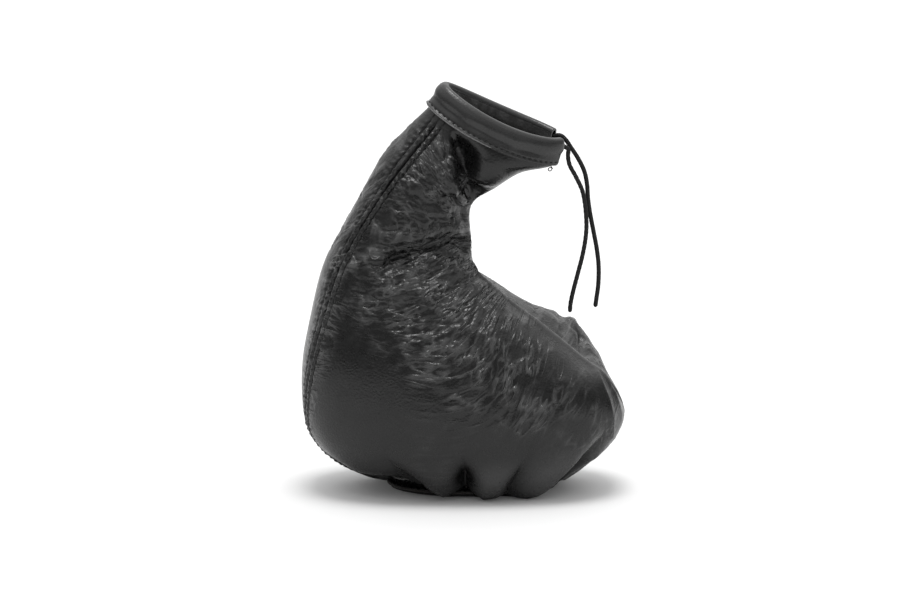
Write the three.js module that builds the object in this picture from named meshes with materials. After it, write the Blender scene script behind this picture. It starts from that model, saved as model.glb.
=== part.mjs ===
// A leather handbrake boot: two sewn leather sides, a folded collar with a drawcord in it,
// and a hem gathered by a band of elastic. The boot stands on its hem with the neck bent forwards.
// Millimetres. +Z is up, +X runs from the back seam to the front, and -Y is the left side.
import * as THREE from "three";

// The boot's overall size, drawcord left out
const bootLength = 162;
const bootWidth = 94;
const bootHeight = 206;

// Leather and its seams
const leatherWall = 1.2;
const seamGap = 0.3; // between the two sides where they are sewn together
const seamAllowance = 7; // turned in along each seam, so the wall is double there
const seamGrooveDepth = 0.8;
const seamGrooveWidth = 1.3;
const topstitchOffset = 3.2; // from the back seam to each row of stitches
const topstitchEnd = 12.7; // the station where the rows pass out of sight among the gathers
const threadWidth = 0.6;
const pieceGap = 0.35; // clear space between pieces that lie on each other

// Collar: one strip folded over the top edge of both sides
const casingWall = 1.0;
const casingHeight = 14;
const casingGrip = 6; // how far the leather sides reach up into the collar
const casingStitchHeight = 1.6; // above the collar's lower edge
const slitStart = 178; // degrees round from the back, where the collar's near end is
const slitEnd = 206;

// Drawcord
const cordDiameter = 2.3;
const cordPlay = 0.35; // free space round the cord in its channel

// Hem: turned up inside round a flat band of elastic
const elasticWidth = 5;
const elasticThickness = 1.0;
const hemReturn = 6.5; // how far the turned-up edge reaches back over the elastic
const gatherDepth = 7.5;
// Where the leather is pinched in round the hem, in degrees from the back, and how much
const pinchAngles = [20, 57, 85, 110, 145, 172, 200, 232, 262, 290, 318, 345];
const pinchStrengths = [0.7, 0.9, 1, 0.5, 0.9, 0.3, 0.8, 1, 0.6, 1, 0.8, 0.6];

// How finely the shapes are divided
const rowsBetween = [[1, 3, 5], [3, 7, 15], [7, 12, 9], [12, 14, 6]]; // stations from and to, and rows
const innerColumns = 12;
const ringSteps = 48;
const cordSteps = 66;
const cordSides = 8;

// The boot's outline, station by station from the rim of the collar down to the hem. Each gives
// where its back and its front lie, and how far it swells to the left and the right of the line
// between them. Then how much it leans to the left, how much it sags at its sides, the angles of
// the back seam and the front seam round it, and how square it is at its back and its front.
const station = (back, front, left, right, lean, sag, seams, square) => (
  { back, front, left, right, lean, sag, seams, square }
);
const stations = [
  station([-8, 206], [48.5, 176.5], 14, 11, 0.18, 5.2, [30, 188], [1.9, 2]),
  station([-17, 194.3], [46, 165.8], 16.5, 12, 0.16, 2.4, [33, 188], [2, 2]),
  station([-29.5, 182], [28.5, 161.5], 20, 14, 0.12, 0.5, [42, 189], [2, 2]),
  station([-41.2, 168.5], [15.3, 153], 24, 18, 0.06, 0, [46.5, 190], [2, 2]),
  station([-51, 151], [3.6, 144.5], 26, 22, 0.02, 0, [44, 190], [2, 1.8]),
  station([-61.5, 131.5], [3.2, 128.3], 29, 26, 0, 0, [39, 190], [2.1, 1.8]),
  station([-71, 112.5], [5.5, 113.5], 33, 31, 0, 0, [38, 190], [2.2, 2]),
  station([-77.5, 85.5], [19.5, 99.5], 38, 37, 0, 0, [32, 189], [2.3, 2.2]),
  station([-81, 66], [37.8, 85.5], 43, 42, 0, 0, [27.3, 188], [2.4, 2.4]),
  station([-81.5, 47.5], [56.8, 70], 46, 45, 0, 0, [20.3, 187], [2.4, 2.5]),
  station([-79.2, 32.5], [72.3, 57], 47, 47, 0, 0, [13, 186], [2.4, 2.5]),
  station([-72.4, 21.5], [80.3, 39], 45.5, 45.5, 0, 0, [9, 185], [2.4, 2.5]),
  station([-60.5, 12.8], [71.5, 23], 42, 42, 0, 0, [7, 185], [2.4, 2.4]),
  station([-49.5, 5.3], [59.5, 9.5], 37, 37, 0, 0, [6, 185], [2.4, 2.4]),
  station([-40.5, 0], [49.5, 0], 30.5, 30.5, 0, 0, [5, 185], [2.4, 2.4]),
  station([-32.5, 0], [41, 0], 22.5, 22.5, 0, 0, [5, 185], [2.4, 2.4]),
];
const rimStation = 0;
const collarStation = 1;
const hemFlatStation = stations.length - 2;
const hemStation = stations.length - 1;

// Folds, each a line of [x, z] points with its depth, and how far it spreads above and below
// that line (or left and right of it). They are on the left side unless they say right.
const folds = [
  { line: [[-2.8, 181], [-1, 168.5], [2.2, 152]], depth: 8.5, spread: [8.5, 3.4] },
  { line: [[-25, 152], [-14.5, 150], [-5, 146.5], [3, 140]], depth: 3, spread: [4.5, 4.5] },
  { line: [[-44, 119], [-27, 127.5], [-14, 129.5], [3, 125]], depth: 5, spread: [5, 5] },
  { line: [[-34, 150], [-14, 152], [2, 147]], depth: 4, spread: [5, 4.5], right: true },
  { line: [[-50, 127], [-24, 135], [3, 131]], depth: 5, spread: [5, 5], right: true },
  { line: [[-30, 108], [-4, 117], [8, 113]], depth: 4, spread: [5, 5], right: true },
];

// The crease that runs down the front of the left side, from the inner bend to the lower corner.
const crease = {
  line: [[5, 115], [18, 103.4], [32.6, 91.4], [47.3, 79.4], [62, 68.2], [68.5, 62]],
  height: 3,
  width: 6,
};
// The hollow beside it along the front seam, and the swell of the right side beyond the seam.
const frontHollow = { station: 8.4, angle: 188, depth: 3.5, stations: 1.5, angles: 13 };
const rightSwell = { station: 9, angle: 213, depth: 13, stations: 1.1, angles: 15 };

// The drawcord's two hanging ends, from the mouth of the collar down to the tip.
const nearCordEnd = [
  [50, 0.8, 175.7], [51.5, 0.4, 172.5], [51.4, -0.4, 168.6], [52.3, -1, 164.2], [55.2, -1.3, 158.8],
  [58.4, -1.5, 152], [59.8, -1.6, 145.6], [60.5, -1.7, 139], [60.7, -1.8, 132.6], [60.1, -2, 126],
  [58.7, -2.2, 118.4], [56.4, -2.4, 109.2], [54.3, -2.6, 101], [53, -2.7, 94.6], [52.6, -2.8, 90],
];
const farCordEnd = [
  [47.5, 4.4, 178.4], [50.3, 3.8, 176.3], [53, 3.2, 172.4], [56.6, 2.6, 166.9], [59.6, 2.1, 160.7],
  [61, 1.8, 154], [61.5, 1.6, 147], [62.6, 1.4, 139.3], [64.4, 1.2, 130], [66.1, 1, 120.9],
  [67, 0.9, 112], [66.8, 0.8, 103], [65.9, 0.7, 96], [65.4, 0.6, 91.9],
];

const fullTurn = 360;
const radians = THREE.MathUtils.degToRad;
const mix = (a, b, t) => a + (b - a) * t;
const bump = (x, width) => Math.exp(-((x / width) ** 2));

// The stations, folds and cord ends are drawn for a boot of this size, and stretched to its own.
const drawnSize = [162, 94, 206];
const stretch = [bootLength, bootWidth, bootHeight].map((size, i) => size / drawnSize[i]);
const stretched = (x, y, z) => new THREE.Vector3(x * stretch[0], y * stretch[1], z * stretch[2]);

// A number that each station gives, smoothly carried on between stations.
function along(station, read) {
  const last = stations.length - 1;
  const at = Math.min(Math.max(station, 0), last);
  const i = Math.min(Math.floor(at), last - 1);
  const t = at - i;
  const p1 = read(stations[i]);
  const p2 = read(stations[i + 1]);
  const p0 = i > 0 ? read(stations[i - 1]) : 2 * p1 - p2;
  const p3 = i + 2 <= last ? read(stations[i + 2]) : 2 * p2 - p1;
  const [linear, square, cubic] = [p2 - p0, 2 * p0 - 5 * p1 + 4 * p2 - p3, 3 * p1 - p0 - 3 * p2 + p3];
  return p1 + 0.5 * (linear * t + square * t ** 2 + cubic * t ** 3);
}

// A point of the smooth boot without its folds. The angle is in degrees: 0 is the back,
// 90 the left side, 180 the front and 270 the right side.
function smoothPoint(station, angle) {
  const back = [along(station, (s) => s.back[0]), along(station, (s) => s.back[1])];
  const front = [along(station, (s) => s.front[0]), along(station, (s) => s.front[1])];
  const forwards = -Math.cos(radians(angle));
  const sideways = Math.sin(radians(angle));
  const [atBack, atFront] = [along(station, (s) => s.square[0]), along(station, (s) => s.square[1])];
  const power = mix(atBack, atFront, (forwards + 1) / 2);
  const reach = (Math.abs(forwards) ** power + Math.abs(sideways) ** power) ** (-1 / power);
  const depth = along(station, (s) => (sideways > 0 ? s.left : s.right));
  const share = (forwards * reach + 1) / 2;
  const y = -depth * sideways * reach;
  const tilt = along(station, (s) => s.lean) * y - along(station, (s) => s.sag) * sideways ** 2;
  return stretched(mix(back[0], front[0], share), y, Math.max(mix(back[1], front[1], share) + tilt, 0));
}

// The unit vector out of a surface at a station and an angle.
function outward(surface, station, angle) {
  const step = 0.02;
  const turn = surface(station, angle + 1).sub(surface(station, angle - 1));
  const down = surface(station + step, angle).sub(surface(station - step, angle));
  return down.cross(turn).normalize();
}

// How far a point of the leather lies from a drawn line, positive above or right of it.
function fromLine(line, point) {
  const [x, z] = [point.x / stretch[0], point.z / stretch[2]];
  let best = Infinity;
  for (let i = 0; i + 1 < line.length; i += 1) {
    const [ax, az] = line[i];
    const [bx, bz] = line[i + 1];
    const length = Math.hypot(bx - ax, bz - az);
    const t = THREE.MathUtils.clamp(((x - ax) * (bx - ax) + (z - az) * (bz - az)) / length ** 2, 0, 1);
    const away = Math.hypot(x - mix(ax, bx, t), z - mix(az, bz, t));
    const side = (bx - ax) * (z - az) - (bz - az) * (x - ax);
    if (away < Math.abs(best)) best = side < 0 ? -away : away;
  }
  return best;
}

// How far the hem's elastic pulls the leather in at an angle: 1 in the middle of a full pinch.
function gatherPinch(angle) {
  const count = pinchAngles.length;
  const next = pinchAngles.filter((at) => at <= angle).length;
  const from = next > 0 ? pinchAngles[next - 1] : pinchAngles[count - 1] - fullTurn;
  const to = next < count ? pinchAngles[next] : pinchAngles[0] + fullTurn;
  const share = (angle - from) / (to - from);
  const strength = pinchStrengths[(share < 0.5 ? next - 1 + count : next) % count];
  return strength * (1 - Math.sin(Math.PI * share)) ** 1.3;
}

// How far the leather stands out from the smooth boot: folds, crease, hollow, swell and gathers.
function relief(station, angle, point) {
  let out = 0;
  const belowCollar = THREE.MathUtils.smoothstep(station, collarStation, collarStation + 0.5);
  for (const fold of folds) {
    const away = fromLine(fold.line, point);
    const onSide = THREE.MathUtils.smoothstep(Math.sin(radians(fold.right ? -angle : angle)), 0.05, 0.35);
    out -= fold.depth * bump(away, away > 0 ? fold.spread[0] : fold.spread[1]) * onSide * belowCollar;
  }
  const onLeft = THREE.MathUtils.smoothstep(Math.sin(radians(angle)), 0.05, 0.3);
  const fromCrease = Math.abs(fromLine(crease.line, point));
  out += crease.height * Math.exp(-fromCrease / crease.width) * onLeft;
  const near = (place) => (
    bump(station - place.station, place.stations) * bump(angle - place.angle, place.angles)
  );
  out += rightSwell.depth * near(rightSwell) - frontHollow.depth * near(frontHollow);
  const gathered = THREE.MathUtils.smoothstep(station, hemFlatStation - 3.4, hemFlatStation - 1.2)
    * (1 - 0.6 * THREE.MathUtils.smoothstep(station, hemFlatStation - 1, hemFlatStation));
  return out + gatherDepth * gathered * (0.35 - gatherPinch(angle));
}

// A point on the outside of the leather, folds included.
function leatherPoint(station, angle) {
  const point = smoothPoint(station, angle);
  const wrapped = THREE.MathUtils.euclideanModulo(angle, fullTurn);
  const out = outward(smoothPoint, Math.min(station, hemFlatStation - 0.03), angle);
  const onFloor = THREE.MathUtils.smoothstep(station, hemFlatStation - 1, hemFlatStation);
  const fade = Math.min(hemStation - station, 1);
  out.setZ(out.z * (1 - onFloor)).normalize();
  point.addScaledVector(out, relief(station, wrapped, point) * fade);
  if (station > hemFlatStation - 0.01) point.z = 0;
  point.z = Math.max(point.z, 0);
  return point;
}

// The same below the hem line, where the leather turns up and back over the elastic.
const hemFoldRadius = (2 * leatherWall + elasticThickness + 2 * pieceGap) / 2;
const hemTurns = [-45, 0, 45, 90];
function hemPoint(turn, back, angle) {
  const edge = smoothPoint(hemStation, angle);
  const ring = smoothPoint(hemStation, angle + 1).sub(smoothPoint(hemStation, angle - 1));
  const inwards = new THREE.Vector3(-ring.y, ring.x, 0).normalize();
  edge.addScaledVector(inwards, hemFoldRadius * Math.cos(radians(turn)) - back);
  edge.z = hemFoldRadius * (1 + Math.sin(radians(turn)));
  return { edge, inwards };
}

// The angles at which one side of the boot has its columns at a station: close together at the
// seams, so that the groove and the turned-in allowance have their true widths, and even between.
function columnAngles(station, from, to) {
  const fine = 90;
  const angles = [];
  const lengths = [0];
  for (let i = 0; i <= fine; i += 1) {
    angles.push(mix(from, to, i / fine));
    if (i > 0) {
      const step = smoothPoint(station, angles[i]).distanceTo(smoothPoint(station, angles[i - 1]));
      lengths.push(lengths[i - 1] + step);
    }
  }
  const whole = lengths[fine];
  const edge = [seamGap / 2, seamGrooveWidth, topstitchOffset, seamAllowance, seamAllowance + leatherWall];
  const distances = [...edge];
  const inner = edge[edge.length - 1];
  for (let i = 1; i <= innerColumns; i += 1) {
    distances.push(mix(inner, whole - inner, i / (innerColumns + 1)));
  }
  for (const d of [...edge].reverse()) distances.push(whole - d);
  return distances.map((distance) => {
    const i = Math.min(Math.max(lengths.findIndex((l) => l > distance), 1), fine);
    const t = (distance - lengths[i - 1]) / (lengths[i] - lengths[i - 1]);
    return { angle: mix(angles[i - 1], angles[i], t), fromSeam: Math.min(distance, whole - distance) };
  });
}

// Joins a grid of outer points and a grid of inner points into one closed solid.
function shell(outer, inner) {
  const rows = outer.length;
  const columns = outer[0].length;
  const positions = [];
  for (const p of [...outer.flat(), ...inner.flat()]) positions.push(p.x, p.y, p.z);
  const at = (layer, i, j) => layer * rows * columns + i * columns + j;
  const faces = [];
  const quad = (a, b, c, d) => faces.push(a, b, c, a, c, d);
  for (let i = 0; i + 1 < rows; i += 1) {
    for (let j = 0; j + 1 < columns; j += 1) {
      quad(at(0, i, j), at(0, i + 1, j), at(0, i + 1, j + 1), at(0, i, j + 1));
      quad(at(1, i, j), at(1, i, j + 1), at(1, i + 1, j + 1), at(1, i + 1, j));
    }
    quad(at(0, i, 0), at(1, i, 0), at(1, i + 1, 0), at(0, i + 1, 0));
    quad(at(0, i, columns - 1), at(0, i + 1, columns - 1), at(1, i + 1, columns - 1), at(1, i, columns - 1));
  }
  for (let j = 0; j + 1 < columns; j += 1) {
    quad(at(0, 0, j), at(0, 0, j + 1), at(1, 0, j + 1), at(1, 0, j));
    quad(at(0, rows - 1, j), at(1, rows - 1, j), at(1, rows - 1, j + 1), at(0, rows - 1, j + 1));
  }
  const geometry = new THREE.BufferGeometry();
  geometry.setAttribute("position", new THREE.Float32BufferAttribute(positions, 3));
  geometry.setIndex(faces);
  return geometry;
}

// Joins a row of equal outlines into a bar, or into a ring when it closes on itself.
function bar(outlines, section, closed) {
  const sides = section.length;
  const positions = outlines.flatMap((outline) => outline.flatMap((p) => [p.x, p.y, p.z]));
  const faces = [];
  const spans = closed ? outlines.length : outlines.length - 1;
  for (let i = 0; i < spans; i += 1) {
    const next = (i + 1) % outlines.length;
    for (let k = 0; k < sides; k += 1) {
      const l = (k + 1) % sides;
      const [a, b, c, d] = [i * sides + k, i * sides + l, next * sides + l, next * sides + k];
      faces.push(a, b, c, a, c, d);
    }
  }
  if (!closed) {
    const end = (outlines.length - 1) * sides;
    for (const [a, b, c] of THREE.ShapeUtils.triangulateShape(section, [])) {
      faces.push(c, b, a, end + a, end + b, end + c);
    }
  }
  const geometry = new THREE.BufferGeometry();
  geometry.setAttribute("position", new THREE.Float32BufferAttribute(positions, 3));
  geometry.setIndex(faces);
  return geometry;
}

// Materials
const leatherFinish = new THREE.MeshStandardMaterial({ color: 0x2c2c2c, roughness: 0.55, metalness: 0 });
const casingFinish = new THREE.MeshStandardMaterial({ color: 0x333333, roughness: 0.45, metalness: 0 });
const threadFinish = new THREE.MeshStandardMaterial({ color: 0x1c1c1c, roughness: 0.7, metalness: 0 });
const cordFinish = new THREE.MeshStandardMaterial({ color: 0x161616, roughness: 0.75, metalness: 0 });
const elasticFinish = new THREE.MeshStandardMaterial({ color: 0x202020, roughness: 0.9, metalness: 0 });

const backSeam = (station) => along(station, (s) => s.seams[0]);
const frontSeam = (station) => along(station, (s) => s.seams[1]);
const leftSeams = (station) => [backSeam(station), frontSeam(station)];
const rightSeams = (station) => [frontSeam(station), fullTurn + backSeam(station)];
const rows = rowsBetween.flatMap(([from, to, count]) => (
  Array.from({ length: count }, (_, i) => mix(from, to, (i + 1) / count))
));

// One leather side, between two seams. Its top edge stands inside the collar.
function leatherSide(seamsOf) {
  const outer = [];
  const inner = [];
  const collarColumns = columnAngles(collarStation, ...seamsOf(collarStation));
  for (const up of [casingGrip, 0]) {
    outer.push(collarColumns.map(({ angle }) => collarPoint(angle, leatherWall / 2, up)));
    inner.push(collarColumns.map(({ angle }) => collarPoint(angle, -leatherWall / 2, up)));
  }
  for (const station of [...rows, hemStation]) {
    const doubled = THREE.MathUtils.smoothstep(station, collarStation, collarStation + 0.4)
      * (1 - THREE.MathUtils.smoothstep(station, hemFlatStation - 1, hemFlatStation));
    const outerRow = [];
    const innerRow = [];
    for (const { angle, fromSeam } of columnAngles(station, ...seamsOf(station))) {
      const flat = station > hemFlatStation - 0.01;
      const normal = flat ? new THREE.Vector3(0, 0, -1) : outward(leatherPoint, station, angle);
      const groove = seamGrooveDepth * bump(fromSeam, seamGrooveWidth / 2) * doubled;
      const point = leatherPoint(station, angle).addScaledVector(normal, -groove);
      const layers = fromSeam < seamAllowance + 0.01 ? 1 + doubled : 1;
      outerRow.push(point);
      innerRow.push(point.clone().addScaledVector(normal, groove - leatherWall * layers));
    }
    outer.push(outerRow);
    inner.push(innerRow);
  }
  const columns = columnAngles(hemStation, ...seamsOf(hemStation));
  const addHemRow = (turn, back) => {
    const placed = columns.map(({ angle }) => hemPoint(turn, back, angle));
    outer.push(placed.map(({ edge }) => edge));
    inner.push(placed.map(({ edge, inwards }) => edge.clone()
      .addScaledVector(inwards, -leatherWall * Math.cos(radians(turn)))
      .add(new THREE.Vector3(0, 0, -leatherWall * Math.sin(radians(turn))))));
  };
  for (const turn of hemTurns) addHemRow(turn, 0);
  addHemRow(90, hemReturn);
  return shell(outer, inner);
}

const leftSide = leatherSide(leftSeams);
const rightSide = leatherSide(rightSeams);

// A point of the collar: out from the middle of the leather's wall, and up from the lower edge.
function collarPoint(angle, out, up) {
  const low = smoothPoint(collarStation, angle);
  const high = smoothPoint(rimStation, angle);
  const rise = high.clone().sub(low).normalize();
  const middle = (rimStation + collarStation) / 2;
  const turn = smoothPoint(middle, angle + 1).sub(smoothPoint(middle, angle - 1));
  const sideways = turn.cross(rise).normalize();
  return low.addScaledVector(rise, up).addScaledVector(sideways, out);
}

// The collar's section, as [out, up] points: two legs that clasp the leather, and above
// them the channel that the drawcord runs in.
const clasp = leatherWall / 2 + pieceGap;
const channel = Math.max(cordDiameter / 2 + cordPlay, clasp);
const foldTop = casingHeight - channel - casingWall;
const channelFoot = casingGrip + 2;
const cordHeight = (channelFoot + foldTop) / 2;
const casingOutline = (wall) => {
  const round = channel + wall;
  const leg = [[clasp + wall, 0], [clasp + wall, casingGrip], [round, channelFoot], [round, foldTop]];
  const top = [radians(60), radians(120)]
    .map((turn) => [round * Math.cos(turn), foldTop + round * Math.sin(turn)]);
  const otherLeg = leg.map(([out, up]) => [-out, up]).reverse();
  return [...leg, ...top, ...otherLeg];
};
const casingSection = [...casingOutline(casingWall), ...casingOutline(0).reverse()]
  .map(([out, up]) => new THREE.Vector2(out, up));

// The collar bends where the leather inside it does, from one end of its slit, round by the
// back, to the other end.
const bendsOf = (from, to) => columnAngles(collarStation, from, to).map(({ angle }) => angle);
const collarAngles = [
  ...bendsOf(...leftSeams(collarStation)).filter((angle) => angle <= slitStart),
  ...bendsOf(...rightSeams(collarStation)).map((angle) => angle - fullTurn)
    .filter((angle) => angle >= slitEnd - fullTurn),
].sort((a, b) => b - a);
const collarCasing = bar(
  collarAngles.map((angle) => casingSection.map(({ x, y }) => collarPoint(angle, x, y))),
  casingSection,
  false,
);

// A square thread section laid round a line of points that each give their own two directions.
function threadAt(centre, side, over) {
  const half = threadWidth / 2;
  return [[-1, -1], [1, -1], [1, 1], [-1, 1]].map(([a, b]) => centre.clone()
    .addScaledVector(side, a * half).addScaledVector(over, b * half));
}
const threadSection = [[-1, -1], [1, -1], [1, 1], [-1, 1]].map(([x, y]) => new THREE.Vector2(x, y));

// A row of stitches beside the back seam, drawn as the thread that lies on the leather.
const topstitchColumn = 2; // the column of each leather side that lies topstitchOffset from its seam
function topstitchRow(seamsOf, column) {
  const stitched = rows.filter((station) => station > collarStation + 0.5 && station < topstitchEnd);
  const outlines = stitched.map((station) => {
    const { angle } = columnAngles(station, ...seamsOf(station)).at(column);
    const over = outward(leatherPoint, station, angle);
    const centre = leatherPoint(station, angle).addScaledVector(over, pieceGap + threadWidth / 2);
    const beside = leatherPoint(station, angle + 1).sub(leatherPoint(station, angle - 1)).normalize();
    return threadAt(centre, beside, over);
  });
  return bar(outlines, threadSection, false);
}

// The row of stitches that holds the collar on, round the outside near its lower edge.
function collarStitchRow() {
  const inset = 3;
  const outlines = [];
  const [last, first] = [collarAngles.at(-1) + inset, collarAngles[0] - inset];
  for (const angle of collarAngles.map((angle) => THREE.MathUtils.clamp(angle, last, first))) {
    const reach = clasp + casingWall + pieceGap + threadWidth / 2;
    const centre = collarPoint(angle, reach, casingStitchHeight);
    const over = centre.clone().sub(collarPoint(angle, 0, casingStitchHeight)).normalize();
    const rise = collarPoint(angle, 0, casingHeight).sub(collarPoint(angle, 0, 0)).normalize();
    outlines.push(threadAt(centre, over, rise));
  }
  return bar(outlines, threadSection, false);
}

// A flat ring that follows the hem: how far out from the fold it starts and ends, and its height.
function hemRing(near, far, low, high) {
  const section = [[far, low], [near, low], [near, high], [far, high]];
  const outlines = [];
  for (let i = 0; i < ringSteps; i += 1) {
    const angle = (fullTurn * i) / ringSteps;
    outlines.push(section.map(([out, up]) => {
      const { edge } = hemPoint(90, out, angle);
      return edge.setZ(up);
    }));
  }
  return bar(outlines, section.map(([x, y]) => new THREE.Vector2(x, y)), true);
}
const elasticFoot = leatherWall + pieceGap;
const hemElastic = hemRing(0, elasticWidth, elasticFoot, elasticFoot + elasticThickness);
const hemTop = 2 * hemFoldRadius + pieceGap;
const hemStitchStart = elasticWidth + pieceGap;
const hemStitchEnd = hemStitchStart + threadWidth;
const hemStitching = hemRing(hemStitchStart, hemStitchEnd, hemTop, hemTop + threadWidth);

// The drawcord, from the tip of one end, round inside the collar, to the tip of the other.
function drawcordGeometry() {
  const inCollar = collarAngles.map((angle) => collarPoint(angle, 0, cordHeight));
  const points = [
    ...nearCordEnd.map((p) => stretched(...p)).reverse(),
    ...inCollar,
    ...farCordEnd.map((p) => stretched(...p)),
  ];
  const outline = new THREE.Shape();
  for (let k = 0; k < cordSides; k += 1) {
    const turn = (2 * Math.PI * k) / cordSides;
    const [x, y] = [(cordDiameter / 2) * Math.cos(turn), (cordDiameter / 2) * Math.sin(turn)];
    if (k === 0) outline.moveTo(x, y);
    else outline.lineTo(x, y);
  }
  outline.closePath();
  const path = new THREE.CatmullRomCurve3(points, false, "centripetal");
  return new THREE.ExtrudeGeometry(outline, { steps: cordSteps, bevelEnabled: false, extrudePath: path });
}

const group = new THREE.Group();
function add(name, geometry, material) {
  const mesh = new THREE.Mesh(geometry, material);
  mesh.name = name;
  group.add(mesh);
  return mesh;
}
add("left_leather_side", leftSide, leatherFinish);
add("right_leather_side", rightSide, leatherFinish);
add("collar_casing", collarCasing, casingFinish);
add("drawcord", drawcordGeometry(), cordFinish);
add("hem_elastic", hemElastic, elasticFinish);
add("back_topstitch_left", topstitchRow(leftSeams, topstitchColumn), threadFinish);
add("back_topstitch_right", topstitchRow(rightSeams, -1 - topstitchColumn), threadFinish);
add("collar_stitching", collarStitchRow(), threadFinish);
add("hem_stitching", hemStitching, threadFinish);

export default group;
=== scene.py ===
# %% [markdown]
# # A leather handbrake boot
# The boot is a soft cover of black leather that stands by itself: two sewn sides, a folded
# collar with a drawcord in it, and a hem gathered by a hidden band of elastic. This lesson
# dresses its plain solids: it builds each piece again with wrinkles, stitches and grain.
# The first lines load the solids.

# %% The solids
import math
import bpy
import numpy as np
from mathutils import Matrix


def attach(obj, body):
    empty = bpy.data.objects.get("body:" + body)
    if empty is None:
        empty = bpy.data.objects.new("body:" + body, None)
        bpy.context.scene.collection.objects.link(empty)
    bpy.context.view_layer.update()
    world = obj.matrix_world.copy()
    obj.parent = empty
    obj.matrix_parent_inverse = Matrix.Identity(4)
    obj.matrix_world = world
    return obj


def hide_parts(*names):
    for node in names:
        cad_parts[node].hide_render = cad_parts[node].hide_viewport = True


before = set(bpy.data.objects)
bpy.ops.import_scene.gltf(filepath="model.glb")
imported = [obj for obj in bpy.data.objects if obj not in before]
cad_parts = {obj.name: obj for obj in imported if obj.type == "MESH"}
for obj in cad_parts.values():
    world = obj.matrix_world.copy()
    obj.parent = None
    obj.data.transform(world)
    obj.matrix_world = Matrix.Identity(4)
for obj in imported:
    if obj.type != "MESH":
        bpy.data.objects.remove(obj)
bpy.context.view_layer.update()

MM = 0.001
print("solids:", ", ".join(sorted(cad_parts)))

# %% [markdown]
# ## The camera
# A long lens keeps the boot's outline nearly free of perspective, as in a catalogue picture.
# It looks at the left side from a little above, so that the mouth of the collar shows.

# %% Camera
VIEW_ELEVATION = math.radians(12)
VIEW_TARGET = np.array([-2.25, 0.0, 92.3]) * MM
VIEW_WIDTH = 0.46
LENS = 200.0
SENSOR = 36.0


def placed(name, data):
    """A new object in the scene, made from its data."""
    made = bpy.data.objects.new(name, data)
    bpy.context.scene.collection.objects.link(made)
    return made


camera_data = bpy.data.cameras.new("camera")
camera_data.lens = LENS
camera_data.sensor_width = SENSOR
camera = placed("camera", camera_data)
towards_camera = np.array([0.0, -math.cos(VIEW_ELEVATION), math.sin(VIEW_ELEVATION)])
camera.location = VIEW_TARGET + towards_camera * VIEW_WIDTH * LENS / SENSOR
camera.rotation_euler = (math.pi / 2 - VIEW_ELEVATION, 0.0, 0.0)
bpy.context.scene.camera = camera
bpy.context.scene.view_settings.view_transform = "Standard"
print("camera at", [round(v, 3) for v in camera.location])

# %% [markdown]
# ## The boot's outline
# Every piece follows one smooth shape, the boot without its folds. It is drawn as stations
# from the rim of the collar to the hem. Each holds, in millimetres and degrees: the back of
# the section (x, z), its front (x, z), how far it swells left and right, how it leans and
# sags, where the back and front seams are round it, and how square its back and front are.
# Between stations the numbers are carried on along a smooth cubic curve.

# %% Stations
PROFILE = np.array([
    [-8.0, 206.0, 48.5, 176.5, 14.0, 11.0, 0.18, 5.2, 30.0, 188.0, 1.9, 2.0],
    [-17.0, 194.3, 46.0, 165.8, 16.5, 12.0, 0.16, 2.4, 33.0, 188.0, 2.0, 2.0],
    [-29.5, 182.0, 28.5, 161.5, 20.0, 14.0, 0.12, 0.5, 42.0, 189.0, 2.0, 2.0],
    [-41.2, 168.5, 15.3, 153.0, 24.0, 18.0, 0.06, 0.0, 46.5, 190.0, 2.0, 2.0],
    [-51.0, 151.0, 3.6, 144.5, 26.0, 22.0, 0.02, 0.0, 44.0, 190.0, 2.0, 1.8],
    [-61.5, 131.5, 3.2, 128.3, 29.0, 26.0, 0.0, 0.0, 39.0, 190.0, 2.1, 1.8],
    [-71.0, 112.5, 5.5, 113.5, 33.0, 31.0, 0.0, 0.0, 38.0, 190.0, 2.2, 2.0],
    [-77.5, 85.5, 19.5, 99.5, 38.0, 37.0, 0.0, 0.0, 32.0, 189.0, 2.3, 2.2],
    [-81.0, 66.0, 37.8, 85.5, 43.0, 42.0, 0.0, 0.0, 27.3, 188.0, 2.4, 2.4],
    [-81.5, 47.5, 56.8, 70.0, 46.0, 45.0, 0.0, 0.0, 20.3, 187.0, 2.4, 2.5],
    [-79.2, 32.5, 72.3, 57.0, 47.0, 47.0, 0.0, 0.0, 13.0, 186.0, 2.4, 2.5],
    [-72.4, 21.5, 80.3, 39.0, 45.5, 45.5, 0.0, 0.0, 9.0, 185.0, 2.4, 2.5],
    [-60.5, 12.8, 71.5, 23.0, 42.0, 42.0, 0.0, 0.0, 7.0, 185.0, 2.4, 2.4],
    [-49.5, 5.3, 59.5, 9.5, 37.0, 37.0, 0.0, 0.0, 6.0, 185.0, 2.4, 2.4],
    [-40.5, 0.0, 49.5, 0.0, 30.5, 30.5, 0.0, 0.0, 5.0, 185.0, 2.4, 2.4],
    [-32.5, 0.0, 41.0, 0.0, 22.5, 22.5, 0.0, 0.0, 5.0, 185.0, 2.4, 2.4],
])
BACK_SEAM, FRONT_SEAM, BACK_POWER, FRONT_POWER = 8, 9, 10, 11
RIM, COLLAR, HEM_FLAT, HEM = 0.0, 1.0, 14.0, 15.0


def carried(values, at):
    """Values given at 0, 1, 2 and so on, carried smoothly to any place between them."""
    at = np.clip(np.asarray(at, float), 0, len(values) - 1)
    i = np.minimum(at.astype(int), len(values) - 2)
    t = (at - i)[..., None]
    ends = np.vstack([2 * values[0] - values[1], values, 2 * values[-1] - values[-2]])
    p0, p1, p2, p3 = (ends[i + k] for k in range(4))
    return p1 + 0.5 * ((p2 - p0) * t + (2 * p0 - 5 * p1 + 4 * p2 - p3) * t**2
                       + (3 * p1 - p0 - 3 * p2 + p3) * t**3)


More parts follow.
